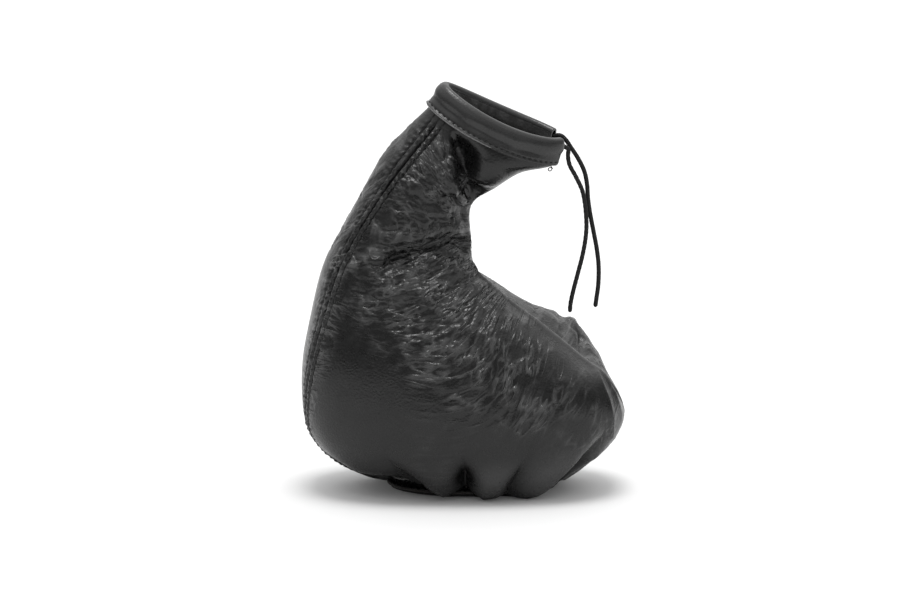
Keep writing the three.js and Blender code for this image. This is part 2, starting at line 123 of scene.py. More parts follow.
def smooth_point(station, angle):
    """The smooth boot at a station and an angle: 0 is the back, 90 the left, 180 the front."""
    station, angle = np.broadcast_arrays(station, angle)
    at = np.moveaxis(carried(PROFILE, station), -1, 0)
    back_x, back_z, front_x, front_z, left, right, lean, sag = at[:BACK_SEAM]
    forwards, sideways = -np.cos(np.radians(angle)), np.sin(np.radians(angle))
    power = at[BACK_POWER] + (at[FRONT_POWER] - at[BACK_POWER]) * (forwards + 1) / 2
    reach = (np.abs(forwards)**power + np.abs(sideways)**power)**(-1 / power)
    share = (forwards * reach + 1) / 2
    y = -np.where(sideways > 0, left, right) * sideways * reach
    x = back_x + (front_x - back_x) * share
    z = back_z + (front_z - back_z) * share + lean * y - sag * sideways**2
    return np.stack([x, y, np.maximum(z, 0)], -1)


def unit(vectors):
    """The same directions, each with a length of 1."""
    return vectors / np.maximum(np.linalg.norm(vectors, axis=-1, keepdims=True), 1e-12)


def smoothstep(x, low, high):
    """0 below low and 1 above high, with a smooth slope between them."""
    t = np.clip((x - low) / (high - low), 0, 1)
    return t * t * (3 - 2 * t)


def span(x, start, full, fading, gone):
    """1 from full to fading, with smooth slopes down to 0 at start and at gone."""
    return smoothstep(x, start, full) * (1 - smoothstep(x, fading, gone))


def bump(x, width):
    """A smooth hill: 1 where x is 0, and nearly 0 two widths away."""
    return np.exp(-(x / width)**2)


def walk(path):
    """How far along a path each of its points lies."""
    return np.concatenate([[0], np.cumsum(np.linalg.norm(np.diff(path, axis=0), axis=1))])


print("outline from", PROFILE[-1][1], "to", PROFILE[0][1], "mm high")

# %% [markdown]
# ## Making meshes
# All pieces are made the same way: points in millimetres and the faces that join them. One helper turns
# them into an object in metres, gives it a finish, hangs it on the boot's body and hides the solid it
# stands for. A grid of points is the commonest case, so it has its own helper.


# %% Mesh helpers
def add_piece(name, points, faces, finishes, node, face_finish=None):
    """A mesh object that moves with the boot's body and stands in for one of its solids."""
    mesh = bpy.data.meshes.new(name)
    mesh.from_pydata((np.asarray(points).reshape(-1, 3) * MM).tolist(), [], faces)
    for finish in finishes:
        mesh.materials.append(finish)
    mesh.polygons.foreach_set("use_smooth", np.ones(len(mesh.polygons), bool))
    if face_finish is not None:
        mesh.polygons.foreach_set("material_index", np.asarray(face_finish, np.int32))
    piece = placed(name, mesh)
    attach(piece, "root")
    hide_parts(node)
    print(f"{name}: {len(mesh.vertices)} points, {len(mesh.polygons)} faces")
    return piece


def grid_faces(rows, columns, wrap_rows=False, wrap_columns=False, start=0):
    """Four-sided faces for a grid of points that is numbered row by row."""
    i, j = np.meshgrid(np.arange(rows - (not wrap_rows)),
                       np.arange(columns - (not wrap_columns)), indexing="ij")
    up, right = (i + 1) % rows, (j + 1) % columns
    corners = [i * columns + j, i * columns + right, up * columns + right, up * columns + j]
    return (np.stack(corners, -1).reshape(-1, 4) + start).tolist()


def frames_along(path):
    """For each point of a path: its direction, and two directions square to it."""
    forwards = unit(np.gradient(path, axis=0))
    side = np.zeros_like(path)
    side[0] = unit(np.cross(forwards[0], [0.0, 1.0, 0.3]))
    for i in range(1, len(path)):
        side[i] = unit(side[i - 1] - forwards[i] * (side[i - 1] @ forwards[i]))
    return forwards, side, np.cross(forwards, side)


def tube(path, radii):
    """A closed tube round a path: radii has a row for each point and a column for each side."""
    steps, sides = radii.shape
    turn = np.arange(sides) * 2 * np.pi / sides
    _, side, over = frames_along(path)
    ring = np.cos(turn)[None, :, None] * side[:, None] + np.sin(turn)[None, :, None] * over[:, None]
    points = (path[:, None] + ring * radii[..., None]).reshape(-1, 3)
    faces = grid_faces(steps, sides, wrap_columns=True)
    last = len(points)
    points = np.vstack([points, path[0], path[-1]])
    for k in range(sides):
        after = (k + 1) % sides
        faces.append([last, after, k])
        faces.append([last + 1, (steps - 1) * sides + k, (steps - 1) * sides + after])
    return points, faces


# %% [markdown]
# ## Finishes
# The leather, the cord and the thread are all nearly black, so the grain, the gloss and painted highlights
# tell them apart. Each finish is a Principled shader. Noise changes its colour and its roughness a little,
# and a chain of bumps adds grain that is too fine to model. The leather of the sides also reads three
# attributes that its mesh will carry: "flow" and "crease" draw the finest creases, whose ridges are also
# painted paler as a painted highlight, and the third attribute marks where a highlight is painted pale
# along the front crest and on the crowns of the hem's gathers.


# %% Finish helpers
class Finish:
    """A material with a Principled shader, and short ways to add nodes to it."""

    def __init__(self, name, **sockets):
        self.material = bpy.data.materials.new(name)
        self.material.use_nodes = True
        self.nodes = self.material.node_tree.nodes
        self.links = self.material.node_tree.links
        self.shader = self.nodes["Principled BSDF"]
        self.place = self.add("ShaderNodeTexCoord").outputs["Object"]
        for socket, value in sockets.items():
            self.shader.inputs[socket.replace("_", " ")].default_value = value

    def add(self, kind, **settings):
        node = self.nodes.new(kind)
        for name, value in settings.items():
            setattr(node, name, value)
        return node

    def noise(self, per_metre, detail=2.0, roughness=0.5, place=None):
        node = self.add("ShaderNodeTexNoise")
        node.inputs["Scale"].default_value = per_metre
        node.inputs["Detail"].default_value = detail
        node.inputs["Roughness"].default_value = roughness
        self.links.new(place or self.place, node.inputs["Vector"])
        return node.outputs["Fac"]

    def cells(self, per_metre):
        node = self.add("ShaderNodeTexVoronoi", feature="F1")
        node.inputs["Scale"].default_value = per_metre
        self.links.new(self.place, node.inputs["Vector"])
        return node.outputs["Distance"]

    def spread(self, value, low, high, to_low, to_high):
        node = self.add("ShaderNodeMapRange")
        for socket, number in zip(("From Min", "From Max", "To Min", "To Max"),
                                  (low, high, to_low, to_high)):
            node.inputs[socket].default_value = number
        self.links.new(value, node.inputs["Value"])
        return node.outputs["Result"]

    def math(self, operation, first, second=0.0):
        node = self.add("ShaderNodeMath", operation=operation)
        for socket, value in zip(node.inputs, (first, second)):
            if isinstance(value, (int, float)):
                socket.default_value = value
            else:
                self.links.new(value, socket)
        return node.outputs[0]

    def blend(self, share, first, second):
        """A mix of two colours. A bare number is a grey."""
        node = self.add("ShaderNodeMix", data_type="RGBA")
        self.links.new(share, node.inputs["Factor"])
        for socket, value in ((node.inputs[6], first), (node.inputs[7], second)):
            if isinstance(value, float):
                value = (value,) * 3
            if isinstance(value, tuple):
                socket.default_value = (*value, 1.0)
            else:
                self.links.new(value, socket)
        return node.outputs[2]

    def bump(self, height, depth, under=None):
        node = self.add("ShaderNodeBump")
        node.inputs["Distance"].default_value = depth
        self.links.new(height, node.inputs["Height"])
        if under is not None:
            self.links.new(under, node.inputs["Normal"])
        return node.outputs["Normal"]

    def attribute(self, name):
        return self.add("ShaderNodeAttribute", attribute_name=name).outputs["Fac"]

    def wear(self, **sockets):
        for socket, value in sockets.items():
            self.links.new(value, self.shader.inputs[socket.replace("_", " ")])
        return self.material


# %% Leather
# The last column is the grey that each crease ridge is painted, a painted highlight.
CREASE_LAYERS = [  # size across and along in mm, the noise a ridge lies between, depth, grey
    (2.2, 9.0, (0.54, 0.68), 0.0005, 0.03),
    (2.5, 8.5, None, 0.0006, 0.085),
    (3.6, 13.0, None, 0.0007, 0.07),
]
LINE_WIDTH = 0.07
# The grey of the highlight painted along the front crest and on the crowns of the hem's gathers.
PAINTED_HIGHLIGHT_GREY = 0.12


def crease_line(finish, flow, across, along, edges):
    """Ridges from 0 to 1: the peaks of noise stretched along the flow, or its middle line."""
    stretched = finish.add("ShaderNodeVectorMath", operation="MULTIPLY")
    stretched.inputs[1].default_value = (1 / across, 1 / along, 1.0)
    finish.links.new(flow, stretched.inputs[0])
    noise = finish.noise(1.0, 1, place=stretched.outputs[0])
    if edges:
        return finish.spread(noise, *edges, 0.0, 1.0)
    away = finish.math("ABSOLUTE", finish.math("SUBTRACT", noise, 0.5))
    return finish.spread(away, 0.0, LINE_WIDTH, 1.0, 0.0)


def leather_finish(name, dark, light, smooth, rough, grain, creased=False):
    """Grained leather. Fine creases run along "flow", stand as high as "crease" says, and get a painted
    highlight on their ridges.
    """
    finish = Finish(name, Specular_IOR_Level=0.42)
    patches = finish.noise(55, 3)
    colour = finish.blend(finish.spread(patches, 0.3, 0.7, 0, 1), dark, light)
    roughness = finish.spread(finish.noise(240, 3), 0.3, 0.7, smooth, rough)
    normal = finish.bump(finish.cells(850), grain)
    normal = finish.bump(finish.noise(2600, 2), 0.4 * grain, normal)
    if creased:
        flow = finish.add("ShaderNodeAttribute", attribute_name="flow").outputs["Vector"]
        crease = finish.attribute("crease")
        broken = finish.spread(finish.noise(120, 1), 0.38, 0.55, 0.25, 1.0)
        for across, along, edges, depth, grey in CREASE_LAYERS:
            line = crease_line(finish, flow, across, along, edges)
            line = finish.math("MULTIPLY", finish.math("MULTIPLY", line, crease), broken)
            normal = finish.bump(line, depth, normal)
            # Each crease ridge is painted paler: a painted highlight.
            colour = finish.blend(line, colour, grey)
        # A highlight painted pale along the front crest and on the crowns of the hem's gathers.
        colour = finish.blend(finish.attribute("painted_highlight"), colour, PAINTED_HIGHLIGHT_GREY)
    return finish.wear(Base_Color=colour, Roughness=roughness, Normal=normal)


def suede_finish(name, dark, light):
    """The flesh side and the cut edges of leather: dull, with a short nap."""
    finish = Finish(name, Specular_IOR_Level=0.2, Sheen_Weight=0.25)
    nap = finish.noise(1500, 4, 0.7)
    colour = finish.blend(finish.spread(nap, 0.3, 0.7, 0, 1), dark, light)
    roughness = finish.spread(nap, 0.3, 0.7, 0.85, 0.97)
    return finish.wear(Base_Color=colour, Roughness=roughness, Normal=finish.bump(nap, 0.00025))


boot_leather = leather_finish("boot_leather", 0.0035, 0.0065, 0.25, 0.34, 0.00009, creased=True)
casing_leather = leather_finish("casing_leather", 0.018, 0.026, 0.24, 0.34, 0.00004)
# The collar's inside is painted paler than its outside: painted light, standing in for the light it
# catches.
casing_inside_painted_light = leather_finish("casing_inside_painted_light", 0.05, 0.095, 0.42, 0.6, 0.00012)
suede = suede_finish("suede", (0.016, 0.015, 0.014), (0.032, 0.030, 0.028))
cut_edge = suede_finish("cut_edge", 0.15, 0.22)
print("leather:", [m.name for m in bpy.data.materials])


# %% Thread and cord
def thread_finish(name, grey, strands_per_metre):
    """Spun thread or braid: fine strands, darker and lighter, that also raise a bump."""
    finish = Finish(name, Specular_IOR_Level=0.3)
    strands = finish.noise(strands_per_metre, 2, 0.6)
    colour = finish.blend(finish.spread(strands, 0.3, 0.7, 0, 1), 0.6 * grey, 1.5 * grey)
    roughness = finish.spread(strands, 0.3, 0.7, 0.6, 0.85)
    return finish.wear(Base_Color=colour, Roughness=roughness, Normal=finish.bump(strands, 0.0001))


sewing_thread = thread_finish("sewing_thread", 0.008, 4000)
cord_braid = thread_finish("cord_braid", 0.010, 3000)
elastic_braid = thread_finish("elastic_band", 0.014, 1800)
print("finishes:", [m.name for m in bpy.data.materials])

# %% [markdown]
# ## The collar's shape
# The collar is one strip folded over the top edge of both sides. A point of it is given by
# the angle round the boot, how far it lies out from the middle of the leather inside it, and
# how far up from its lower edge. The cord, the leather's top and the strip all share this.

# %% Collar line
LEATHER_WALL = 1.2
PIECE_GAP = 0.35
CASING_WALL = 1.0
CASING_HEIGHT = 14.0
CASING_GRIP = 6.0
CASING_STITCH = 1.6
CORD_DIAMETER = 2.3
CORD_PLAY = 0.35
NEAR_END, FAR_END = 166.0, -147.9
clasp = LEATHER_WALL / 2 + PIECE_GAP
channel = CORD_DIAMETER / 2 + CORD_PLAY
fold_top = CASING_HEIGHT - channel - CASING_WALL
channel_foot = CASING_GRIP + 2
cord_height = (channel_foot + fold_top) / 2


def collar_point(angle, out, up):
    angle, out, up = np.broadcast_arrays(np.asarray(angle, float), out, up)
    low = smooth_point(COLLAR, angle)
    rise = unit(smooth_point(RIM, angle) - low)
    middle = (RIM + COLLAR) / 2
    turn = smooth_point(middle, angle + 1) - smooth_point(middle, angle - 1)
    sideways = unit(np.cross(turn, rise))
    return low + rise * up[..., None] + sideways * out[..., None]


print("cord runs", cord_height, "mm above the collar's lower edge")

# %% [markdown]
# ## The drawcord
# The two ends of the cord hang out of the collar's slit. They could be curves with a round
# bevel, but a tube of mesh can carry the braid: its radius rises where two strands cross.
# Each end is cut off blunt and slightly fused. The stretch inside the collar is one more tube.

# %% Drawcord
NEAR_TAIL = np.array([
    [51.3, -0.6, 172.5], [51.4, -0.4, 168.6], [52.3, -1, 164.2], [55.2, -1.3, 158.8],
    [58.4, -1.5, 152], [59.8, -1.6, 145.6], [60.5, -1.7, 139], [60.7, -1.8, 132.6], [60.1, -2, 126],
    [58.7, -2.2, 118.4], [56.4, -2.4, 109.2], [54.3, -2.6, 101], [53, -2.7, 94.6], [52.6, -2.8, 90],
])
FAR_TAIL = np.array([
    [47.5, 4.4, 178.4], [50.3, 3.8, 176.3], [53, 3.2, 172.4], [56.6, 2.6, 166.9], [59.6, 2.1, 160.7],
    [61, 1.8, 154], [61.5, 1.6, 147], [62.6, 1.4, 139.3], [64.4, 1.2, 130], [66.1, 1, 120.9],
    [67, 0.9, 112], [66.8, 0.8, 103], [65.9, 0.7, 96], [65.4, 0.6, 91.9],
])
BRAID_PITCH = 2.6
BRAID_DEPTH = 0.05
CORD_SIDES = 16


def even_path(points, spacing):
    """Points at even spacing along a smooth curve through the given ones."""
    fine = carried(np.asarray(points, float), np.linspace(0, len(points) - 1, 60 * len(points)))
    walked = walk(fine)
    at = np.linspace(0, walked[-1], max(int(round(walked[-1] / spacing)), 2) + 1)
    return np.stack([np.interp(at, walked, fine[:, k]) for k in range(3)], -1), walked[-1]


def braided_cord(name, points, spacing=0.3, blunt=True):
    """A cord through the given points. A blunt one narrows a little at its very tip."""
    path, length = even_path(points, spacing)
    along = np.linspace(0, length, len(path))[:, None]
    turn = (np.arange(CORD_SIDES) * 2 * np.pi / CORD_SIDES)[None, :]
    phase = 2 * np.pi * along / BRAID_PITCH
    crossing = np.maximum(np.cos(2 * turn + phase), np.cos(2 * turn - phase))
    radii = CORD_DIAMETER / 2 - BRAID_DEPTH * (1 - crossing)
    if blunt:
        radii = radii * np.sqrt(np.clip((length - along + 0.08) / 0.9, 0.12, 1))
    points, faces = tube(path, radii)
    piece = add_piece(name, points, faces, [cord_braid], "drawcord")
    print(f"  {length:.1f} mm long")
    return piece, path, length


for name, tail, end in (("cord_near_tail", NEAR_TAIL, NEAR_END), ("cord_far_tail", FAR_TAIL, FAR_END)):
    mouth = collar_point(end, 0.0, cord_height)
    piece, path, length = braided_cord(name, np.vstack([mouth, tail]))
inside_run = collar_point(np.linspace(NEAR_END - 1.0, FAR_END + 1.0, 40), 0.0, cord_height)
braided_cord("cord_in_collar", inside_run, 0.6, blunt=False)

# %% [markdown]
# ## The collar
# The strip's section goes up the outside, over the cord and down the inside. Near its lower
# edge a row of stitches pulls it in, and below the stitches the cut edge curls outwards, most
# of all towards the back, which shows the pale core of the leather. The near end is rounded
# over the cord and the far end is cut square.

# %% Collar casing
COLLAR_STEPS = 300
LEG_STEPS, TURN_STEPS = 26, 13
COLLAR_PITCH = 3.0
LIP_HEIGHT = 1.5
STITCH_PULL = 0.3
INNER_FOLDS = 0.3
END_ROUNDING = 2.6
PALE_UNTIL = 88.0
SHOWN, CUT, LINED = 0, 1, 2


def casing_middle(angle, walked):
    """How far out and up the middle of the strip's wall lies, a row for each angle."""
    leg = np.linspace(0, fold_top, LEG_STEPS)
    easing = smoothstep(leg, CASING_GRIP - 1.5, channel_foot)
    out = CASING_WALL / 2 + clasp + (channel - clasp) * easing
    turn = np.linspace(0, np.pi, TURN_STEPS + 2)[1:-1]
    radius = channel + CASING_WALL / 2
    outs = np.concatenate([out, radius * np.cos(turn), -out[::-1]])
    ups = np.concatenate([leg, fold_top + radius * np.sin(turn), leg[::-1]])
    outs, ups = (np.tile(values, (len(angle), 1)) for values in (outs, ups))
    place, walked = np.arange(outs.shape[1]), walked[:, None]
    outside, inside = place < LEG_STEPS, place >= LEG_STEPS + TURN_STEPS
    curl = (1 - smoothstep(angle, 55, 110))[:, None] * 1.1 - 0.1
    outs += np.where(outside, curl * np.clip(1 - ups / LIP_HEIGHT, 0, 1)**1.5, 0)
    pull = STITCH_PULL * (0.7 + 0.3 * np.cos(2 * np.pi * walked / COLLAR_PITCH))
    outs -= np.where(outside, pull * bump(ups - CASING_STITCH, 0.5), 0)
    wave = 0.22 * np.sin(walked / 4.1 + 0.6) + 0.16 * np.sin(walked / 2.3 + 2.0)
    outs += np.where(outside, (wave - 0.25) * bump(ups - 5.5, 2.2), 0)
    outs += 0.5 * np.where(outside, bump(ups - 9.0, 2.6), 0)
    folds = np.sin(walked / 1.1 + 0.35 * ups + 2.2 * np.sin(walked / 4.3)) - 0.5
    folds *= span(-angle, 20, 45, 95, 125)[:, None] * span(ups, 1, 4, 8, 12.5)
    outs += np.where(inside, INNER_FOLDS * folds, 0)
    return outs, ups


collar_angles = np.linspace(NEAR_END, FAR_END, COLLAR_STEPS)
collar_line = collar_point(collar_angles, 0.0, 0.0)
collar_walked = walk(collar_line)
outs, ups = casing_middle(collar_angles, collar_walked)

# %% [markdown]
# ## The collar's wall
# The wall gets its thickness square to that middle line. The section is then drawn together at the near
# end, and each face is given one of three finishes: the shown side, the cut edge, or the inside of the
# collar, whose paler colour is painted light.

# %% Collar strip
slope_out, slope_up = np.gradient(outs, axis=1), np.gradient(ups, axis=1)
slope = np.hypot(slope_out, slope_up)
half_out, half_up = slope_up / slope * CASING_WALL / 2, -slope_out / slope * CASING_WALL / 2
section_out = np.concatenate([outs + half_out, (outs - half_out)[:, ::-1]], 1)
section_up = np.concatenate([ups + half_up, (ups - half_up)[:, ::-1]], 1)
near_share = np.clip(collar_walked[:, None] / END_ROUNDING, 0, 1)
rounding = np.sqrt(near_share * (2 - near_share))
middle_up = cord_height - 2.5
section_up = middle_up + (section_up - middle_up) * (0.72 + 0.28 * rounding)
section_out = section_out * (0.8 + 0.2 * rounding)
casing_points = collar_point(collar_angles[:, None], section_out, section_up)
sides = section_out.shape[1]
half = sides // 2
faces = grid_faces(COLLAR_STEPS, sides, wrap_columns=True)
around = np.arange(len(faces)) % sides
on_inside = (around >= LEG_STEPS + TURN_STEPS) & (around < half - 1)
pale = np.repeat(collar_angles[:-1] < PALE_UNTIL, sides)
cut_faces = (around == half - 1) | (around == sides - 1) & pale
face_finish = np.where(cut_faces, CUT, np.where(on_inside, LINED, SHOWN)).tolist()
for first in (0, (COLLAR_STEPS - 1) * sides):
    last = first + sides - 1
    for k in range(half - 1):
        quad = [first + k, first + k + 1, last - k - 1, last - k]
        faces.append(quad if first else quad[::-1])
        face_finish.append(CUT)
collar = add_piece("collar_strip", casing_points, faces,
                   [casing_leather, cut_edge, casing_inside_painted_light], "collar_casing", face_finish)

# %% [markdown]
# ## Noise for the wrinkles
# Wrinkles in leather run along the folds it is bent into. Solid noise alone gives round
# dimples, but noise averaged along a line gives long wrinkles that lie with that line. So
# each point of the leather gets a direction, and the noise is averaged along it.

# %% Noise
NOISE_SIZE = 64
random_source = np.random.default_rng(11)
noise_slopes = unit(random_source.normal(size=(NOISE_SIZE, NOISE_SIZE, NOISE_SIZE, 3)))


def solid_noise(points):
    """Smooth noise from -1 to 1 that changes over about one unit of length."""
    cell = np.floor(points).astype(int)
    local = points - cell
    ease = local**3 * (local * (local * 6 - 15) + 10)
    total = np.zeros(points.shape[:-1])
    for corner in np.ndindex(2, 2, 2):
        index = (cell + corner) % NOISE_SIZE
        slope = noise_slopes[index[..., 0], index[..., 1], index[..., 2]]
        weight = np.prod(np.where(corner, ease, 1 - ease), axis=-1)
        total += weight * np.sum(slope * (local - corner), axis=-1)
    return total * 1.6


def drawn_noise(points, direction, size, length, samples):
    """Noise averaged along a direction, brought back to its full strength."""
    total = 0
    weights = 0
    for k in np.linspace(-1, 1, samples):
        weight = 1 - 0.7 * abs(k)
        total = total + weight * solid_noise((points + direction * k * length / 2) / size)
        weights += weight**2
    return total / math.sqrt(weights) * 0.85


# %% [markdown]
# ## How the leather is creased
# The neck bends forwards, so the leather is squeezed at the inner bend, and creases fan out
# from there. These marks say which way the creases run at a place on the left side and how
# high they stand. The first two numbers are millimetres across and up, as seen from the
# camera, then the angle and the height. Between marks the directions are averaged. The right
# side has the same marks, as in a mirror, and a few more by its swell.

# %% Crease marks
CREASE_MARKS = np.array([
    [13, 161, 150, 0.10], [-10, 168, 100, 0.22], [-17, 153, -40, 0.40], [-26, 143, -25, 0.34],
    [-37, 136, -25, 0.30], [-12, 130, 75, 0.26], [-2, 136, -10, 0.18], [-45, 126, -20, 0.26],
    [-40, 106, 10, 0.46], [-22, 108, 12, 0.52], [-5, 112, -5, 0.46], [-42, 96, 15, 0.42],
    [-22, 93, 25, 0.48], [-12, 98, 35, 0.48], [-5, 98, 55, 0.42], [3, 98, 65, 0.34],
    [-32, 83, 12, 0.28], [-17, 78, 30, 0.38], [-7, 71, 40, 0.52], [0, 71, 60, 0.52],
    [8, 73, 80, 0.32], [-10, 61, 20, 0.36], [3, 56, 45, 0.46], [13, 63, 65, 0.42],
    [20, 68, 95, 0.32], [28, 58, 100, 0.36], [25, 46, 80, 0.46], [33, 43, 95, 0.46],
    [13, 43, 50, 0.42], [3, 43, 20, 0.32], [-10, 46, -5, 0.26], [-17, 56, -5, 0.26],
    [-50, 71, 0, 0.18], [-10, 28, 8, 0.22], [-22, 26, 5, 0.16], [38, 68, 110, 0.18],
    [48, 58, 125, 0.14], [55, 46, 120, 0.22], [63, 38, 100, 0.22], [43, 33, 90, 0.22],
    [-57, 43, -60, 0.12], [-42, 23, 0, 0.04], [-32, 38, 0, 0.05], [8, 23, 30, 0.06],
    [-62, 93, -30, 0.08], [-60, 63, 0, 0.06], [-30, 160, -45, 0.30], [30, 20, 90, 0.10],
])
RIGHT_MARKS = np.array([
    [38, 95, 143, 0.30], [48, 87, 140, 0.40], [56, 78, 135, 0.40], [62, 68, 125, 0.35],
    [28, 100, 143, 0.20], [68, 55, 110, 0.30],
])
MARK_SPREAD = 10.0
BEND = 4.0, 118.0


def crease_field(points, facing, side):
    """The direction of the creases on the surface, and their height, for one side."""
    sight = np.array([0.0, -side * math.cos(VIEW_ELEVATION), math.sin(VIEW_ELEVATION)])
    right = np.array([1.0, 0.0, 0.0])
    up = np.array([0.0, side * math.sin(VIEW_ELEVATION), math.cos(VIEW_ELEVATION)])
    across, high = points @ right, points @ up
    marks = CREASE_MARKS if side > 0 else np.vstack([CREASE_MARKS, RIGHT_MARKS])
    sums = np.zeros((4, *across.shape))
    for mark_across, mark_high, turn, height in marks:
        turn = math.radians(2 * turn)
        away = (across - mark_across)**2 + (high - mark_high)**2
        weight = np.exp(-away / (2 * MARK_SPREAD**2)) + 1e-9
        sums += np.stack([weight * np.cos(turn), weight * np.sin(turn), weight * height, weight])
    turn = np.arctan2(sums[1], sums[0]) / 2
    away = np.cos(turn) * (across - BEND[0]) + np.sin(turn) * (high - BEND[1])
    turn = np.where(away < 0, turn + np.pi, turn)
    direction = np.cos(turn)[..., None] * right + np.sin(turn)[..., None] * up
    depth = np.sum(direction * facing, -1) / np.maximum(np.abs(facing @ sight), 0.25)
    depth *= np.where(facing @ sight < 0, -1, 1)
    direction = unit(direction - sight * depth[..., None])
    return direction, sums[2] / sums[3]


# %% [markdown]
# ## A flow for the fine creases
# The finest creases are thinner than the mesh can show, so the shader draws them. It needs two
# numbers at each point: how far it lies across the creases and how far along them. The first
# is solved for: its steps between neighbours should fit the directions, above all along them.

# %% Flow
FLOW_EVERY = 3
FLOW_ROUNDS = 900
FLOW_HOLD = 12.0
SIDES_APART = 7.0


def crease_flow(points, facing, direction, side):
    """For each point: how far across the creases, how far along them, and a number per side."""
    grid = points[::FLOW_EVERY, ::FLOW_EVERY]
    across_lie = np.cross(facing, direction)[::FLOW_EVERY, ::FLOW_EVERY]
    links = []
    for down, right in ((1, 0), (0, 1), (1, 1), (1, -1)):
        rows, columns = grid.shape[0] - down, grid.shape[1] - abs(right)
        from_column, to_column = max(-right, 0), max(right, 0)
        first = slice(0, rows), slice(from_column, from_column + columns)
        second = slice(down, down + rows), slice(to_column, to_column + columns)
        step = grid[second] - grid[first]
        wanted = np.sum(step * (across_lie[first] + across_lie[second]) / 2, -1)
        length = np.linalg.norm(step, axis=-1)
        along_share = np.clip(1 - (wanted / length)**2, 0, 1)
        links.append((first, second, wanted, (1 + FLOW_HOLD * along_share**2) / length**2))

    def spread_back(values):
        """Adds a value of each link to the point it ends at, and takes it from the other."""
        total = np.zeros(grid.shape[:2])
        for (first, second, _, _), value in zip(links, values):
            total[second] += value
            total[first] -= value
        return total

    solved = np.zeros(grid.shape[:2])
    left = spread_back([weight * wanted for _, _, wanted, weight in links])
    search, size = left.copy(), float((left**2).sum())
    for _ in range(FLOW_ROUNDS):
        steps = [search[second] - search[first] for first, second, _, _ in links]
        pushed = spread_back([link[3] * step for link, step in zip(links, steps)])
        share = size / float((search * pushed).sum())
        solved, left = solved + share * search, left - share * pushed
        size, before = float((left**2).sum()), size
        search = left + search * size / before
    rows = np.arange(points.shape[0]) / FLOW_EVERY
    columns = np.arange(points.shape[1]) / FLOW_EVERY
    tall = carried(solved, rows)
    across = carried(tall.T, columns).T
    along = np.hypot(points[..., 0] - BEND[0], points[..., 2] - BEND[1])
    return np.stack([across, along, np.full(along.shape, SIDES_APART * side)], -1)


# %% [markdown]
# ## The large folds
# The same large folds as in the solids: the deep recess under the collar, the folds of the
# inner bend, the long crease down the front, the swell beside it, and the gathers of the hem.
# The crest of the front crease and the swell are sharper here. The small pleats, the ridges
# and the places where the hem lifts off the floor are only in this script.

# %% Folds
FOLDS = [  # a line of (x, z), depth, spread above or right of it, spread below or left, side
    ([(-2.8, 181), (-1, 168.5), (2.2, 152)], 8.5, 8.5, 3.4, 1),
    ([(-25, 152), (-14.5, 150), (-5, 146.5), (3, 140)], 3.0, 4.5, 4.5, 1),
    ([(-44, 119), (-27, 127.5), (-14, 129.5), (3, 125)], 5.0, 5.0, 5.0, 1),
    ([(-34, 150), (-14, 152), (2, 147)], 4.0, 5.0, 4.5, -1),
    ([(-50, 127), (-24, 135), (3, 131)], 5.0, 5.0, 5.0, -1),
    ([(-30, 108), (-4, 117), (8, 113)], 4.0, 5.0, 5.0, -1),
]
PLEATS = [  # the same, for the small pleats that the solids leave out
    ([(-10.8, 187), (-9.5, 172)], 1.3, 1.4, 1.1, 1),
    ([(-6.5, 186), (-3.5, 176), (-1, 166)], 1.6, 1.3, 1.1, 1),
    ([(-32, 163), (-22, 160), (-12, 152), (-4, 149)], 1.5, 1.8, 1.2, 1),
    ([(-36, 147), (-20, 143), (-6, 141)], 1.2, 1.8, 1.5, 1),
    ([(-46, 136), (-30, 136), (-12, 139)], 1.2, 2.0, 1.5, 1),
    ([(-48, 116), (-36, 121), (-24, 127), (-8, 129), (3, 126)], 1.8, 1.6, 1.2, 1),
    ([(-20, 118), (-6, 122), (4, 121)], 1.2, 1.5, 1.2, 1),
    ([(-3.6, 183), (-1.2, 170), (1.4, 156), (3.2, 148)], 3.0, 5.5, 1.3, 1),
    ([(-40, 140), (-20, 146), (0, 142)], 1.6, 2.0, 1.5, -1),
    ([(-44, 118), (-20, 124), (4, 121)], 1.6, 2.0, 1.5, -1),
    ([(20, 108), (34, 99), (44, 90)], 2.2, 3.0, 2.2, -1),
    ([(38, 104), (46, 92), (50, 78)], 2.5, 3.5, 2.5, -1),
    ([(58, 88), (60, 76), (58, 62)], 2.0, 3.0, 2.0, -1),
    ([(22, 105), (36, 97), (50, 85), (61, 72)], 2.2, 1.6, 1.6, -1),
    ([(38, 101), (50, 92), (60, 80), (67, 66)], 1.8, 1.4, 1.4, -1),
]
RIDGES = [  # lines of (x, z) that stand out, height and width
    ([(66, 63), (71.5, 50), (73.6, 40), (73.4, 30)], 1.2, 1.6),
    ([(-1, 96), (4, 86), (7, 75), (6, 64)], 1.6, 3.5),
    ([(-34, 102), (-22, 104), (-8, 104)], 1.2, 3.0),
    ([(-26, 160), (-18, 156), (-10, 158)], 1.0, 2.6),
]
LONG_CREASE = [(5, 115), (18, 103.4), (32.6, 91.4), (47.3, 79.4), (62, 68.2), (68.5, 62)]
LONG_CREASE_HEIGHT, LONG_CREASE_WIDTH = 3.0, 6.0
CREST_ANGLE = 160
SWELLS = [  # middle and reach in stations, middle and reach in degrees, height
    (9.0, 0.85, 213, 15, 15.5),
    (8.4, 1.5, 188, 13, -3.5),
    (7.3, 0.8, 214, 13, 3.5),
]
PINCH_ANGLES = np.array([20, 57, 85, 110, 145, 172, 200, 232, 262, 290, 318, 345], float)
PINCH_STRENGTHS = np.array([0.7, 0.9, 1, 0.5, 0.9, 0.3, 0.8, 1, 0.6, 1, 0.8, 0.6])
GATHER_DEPTH = 7.5
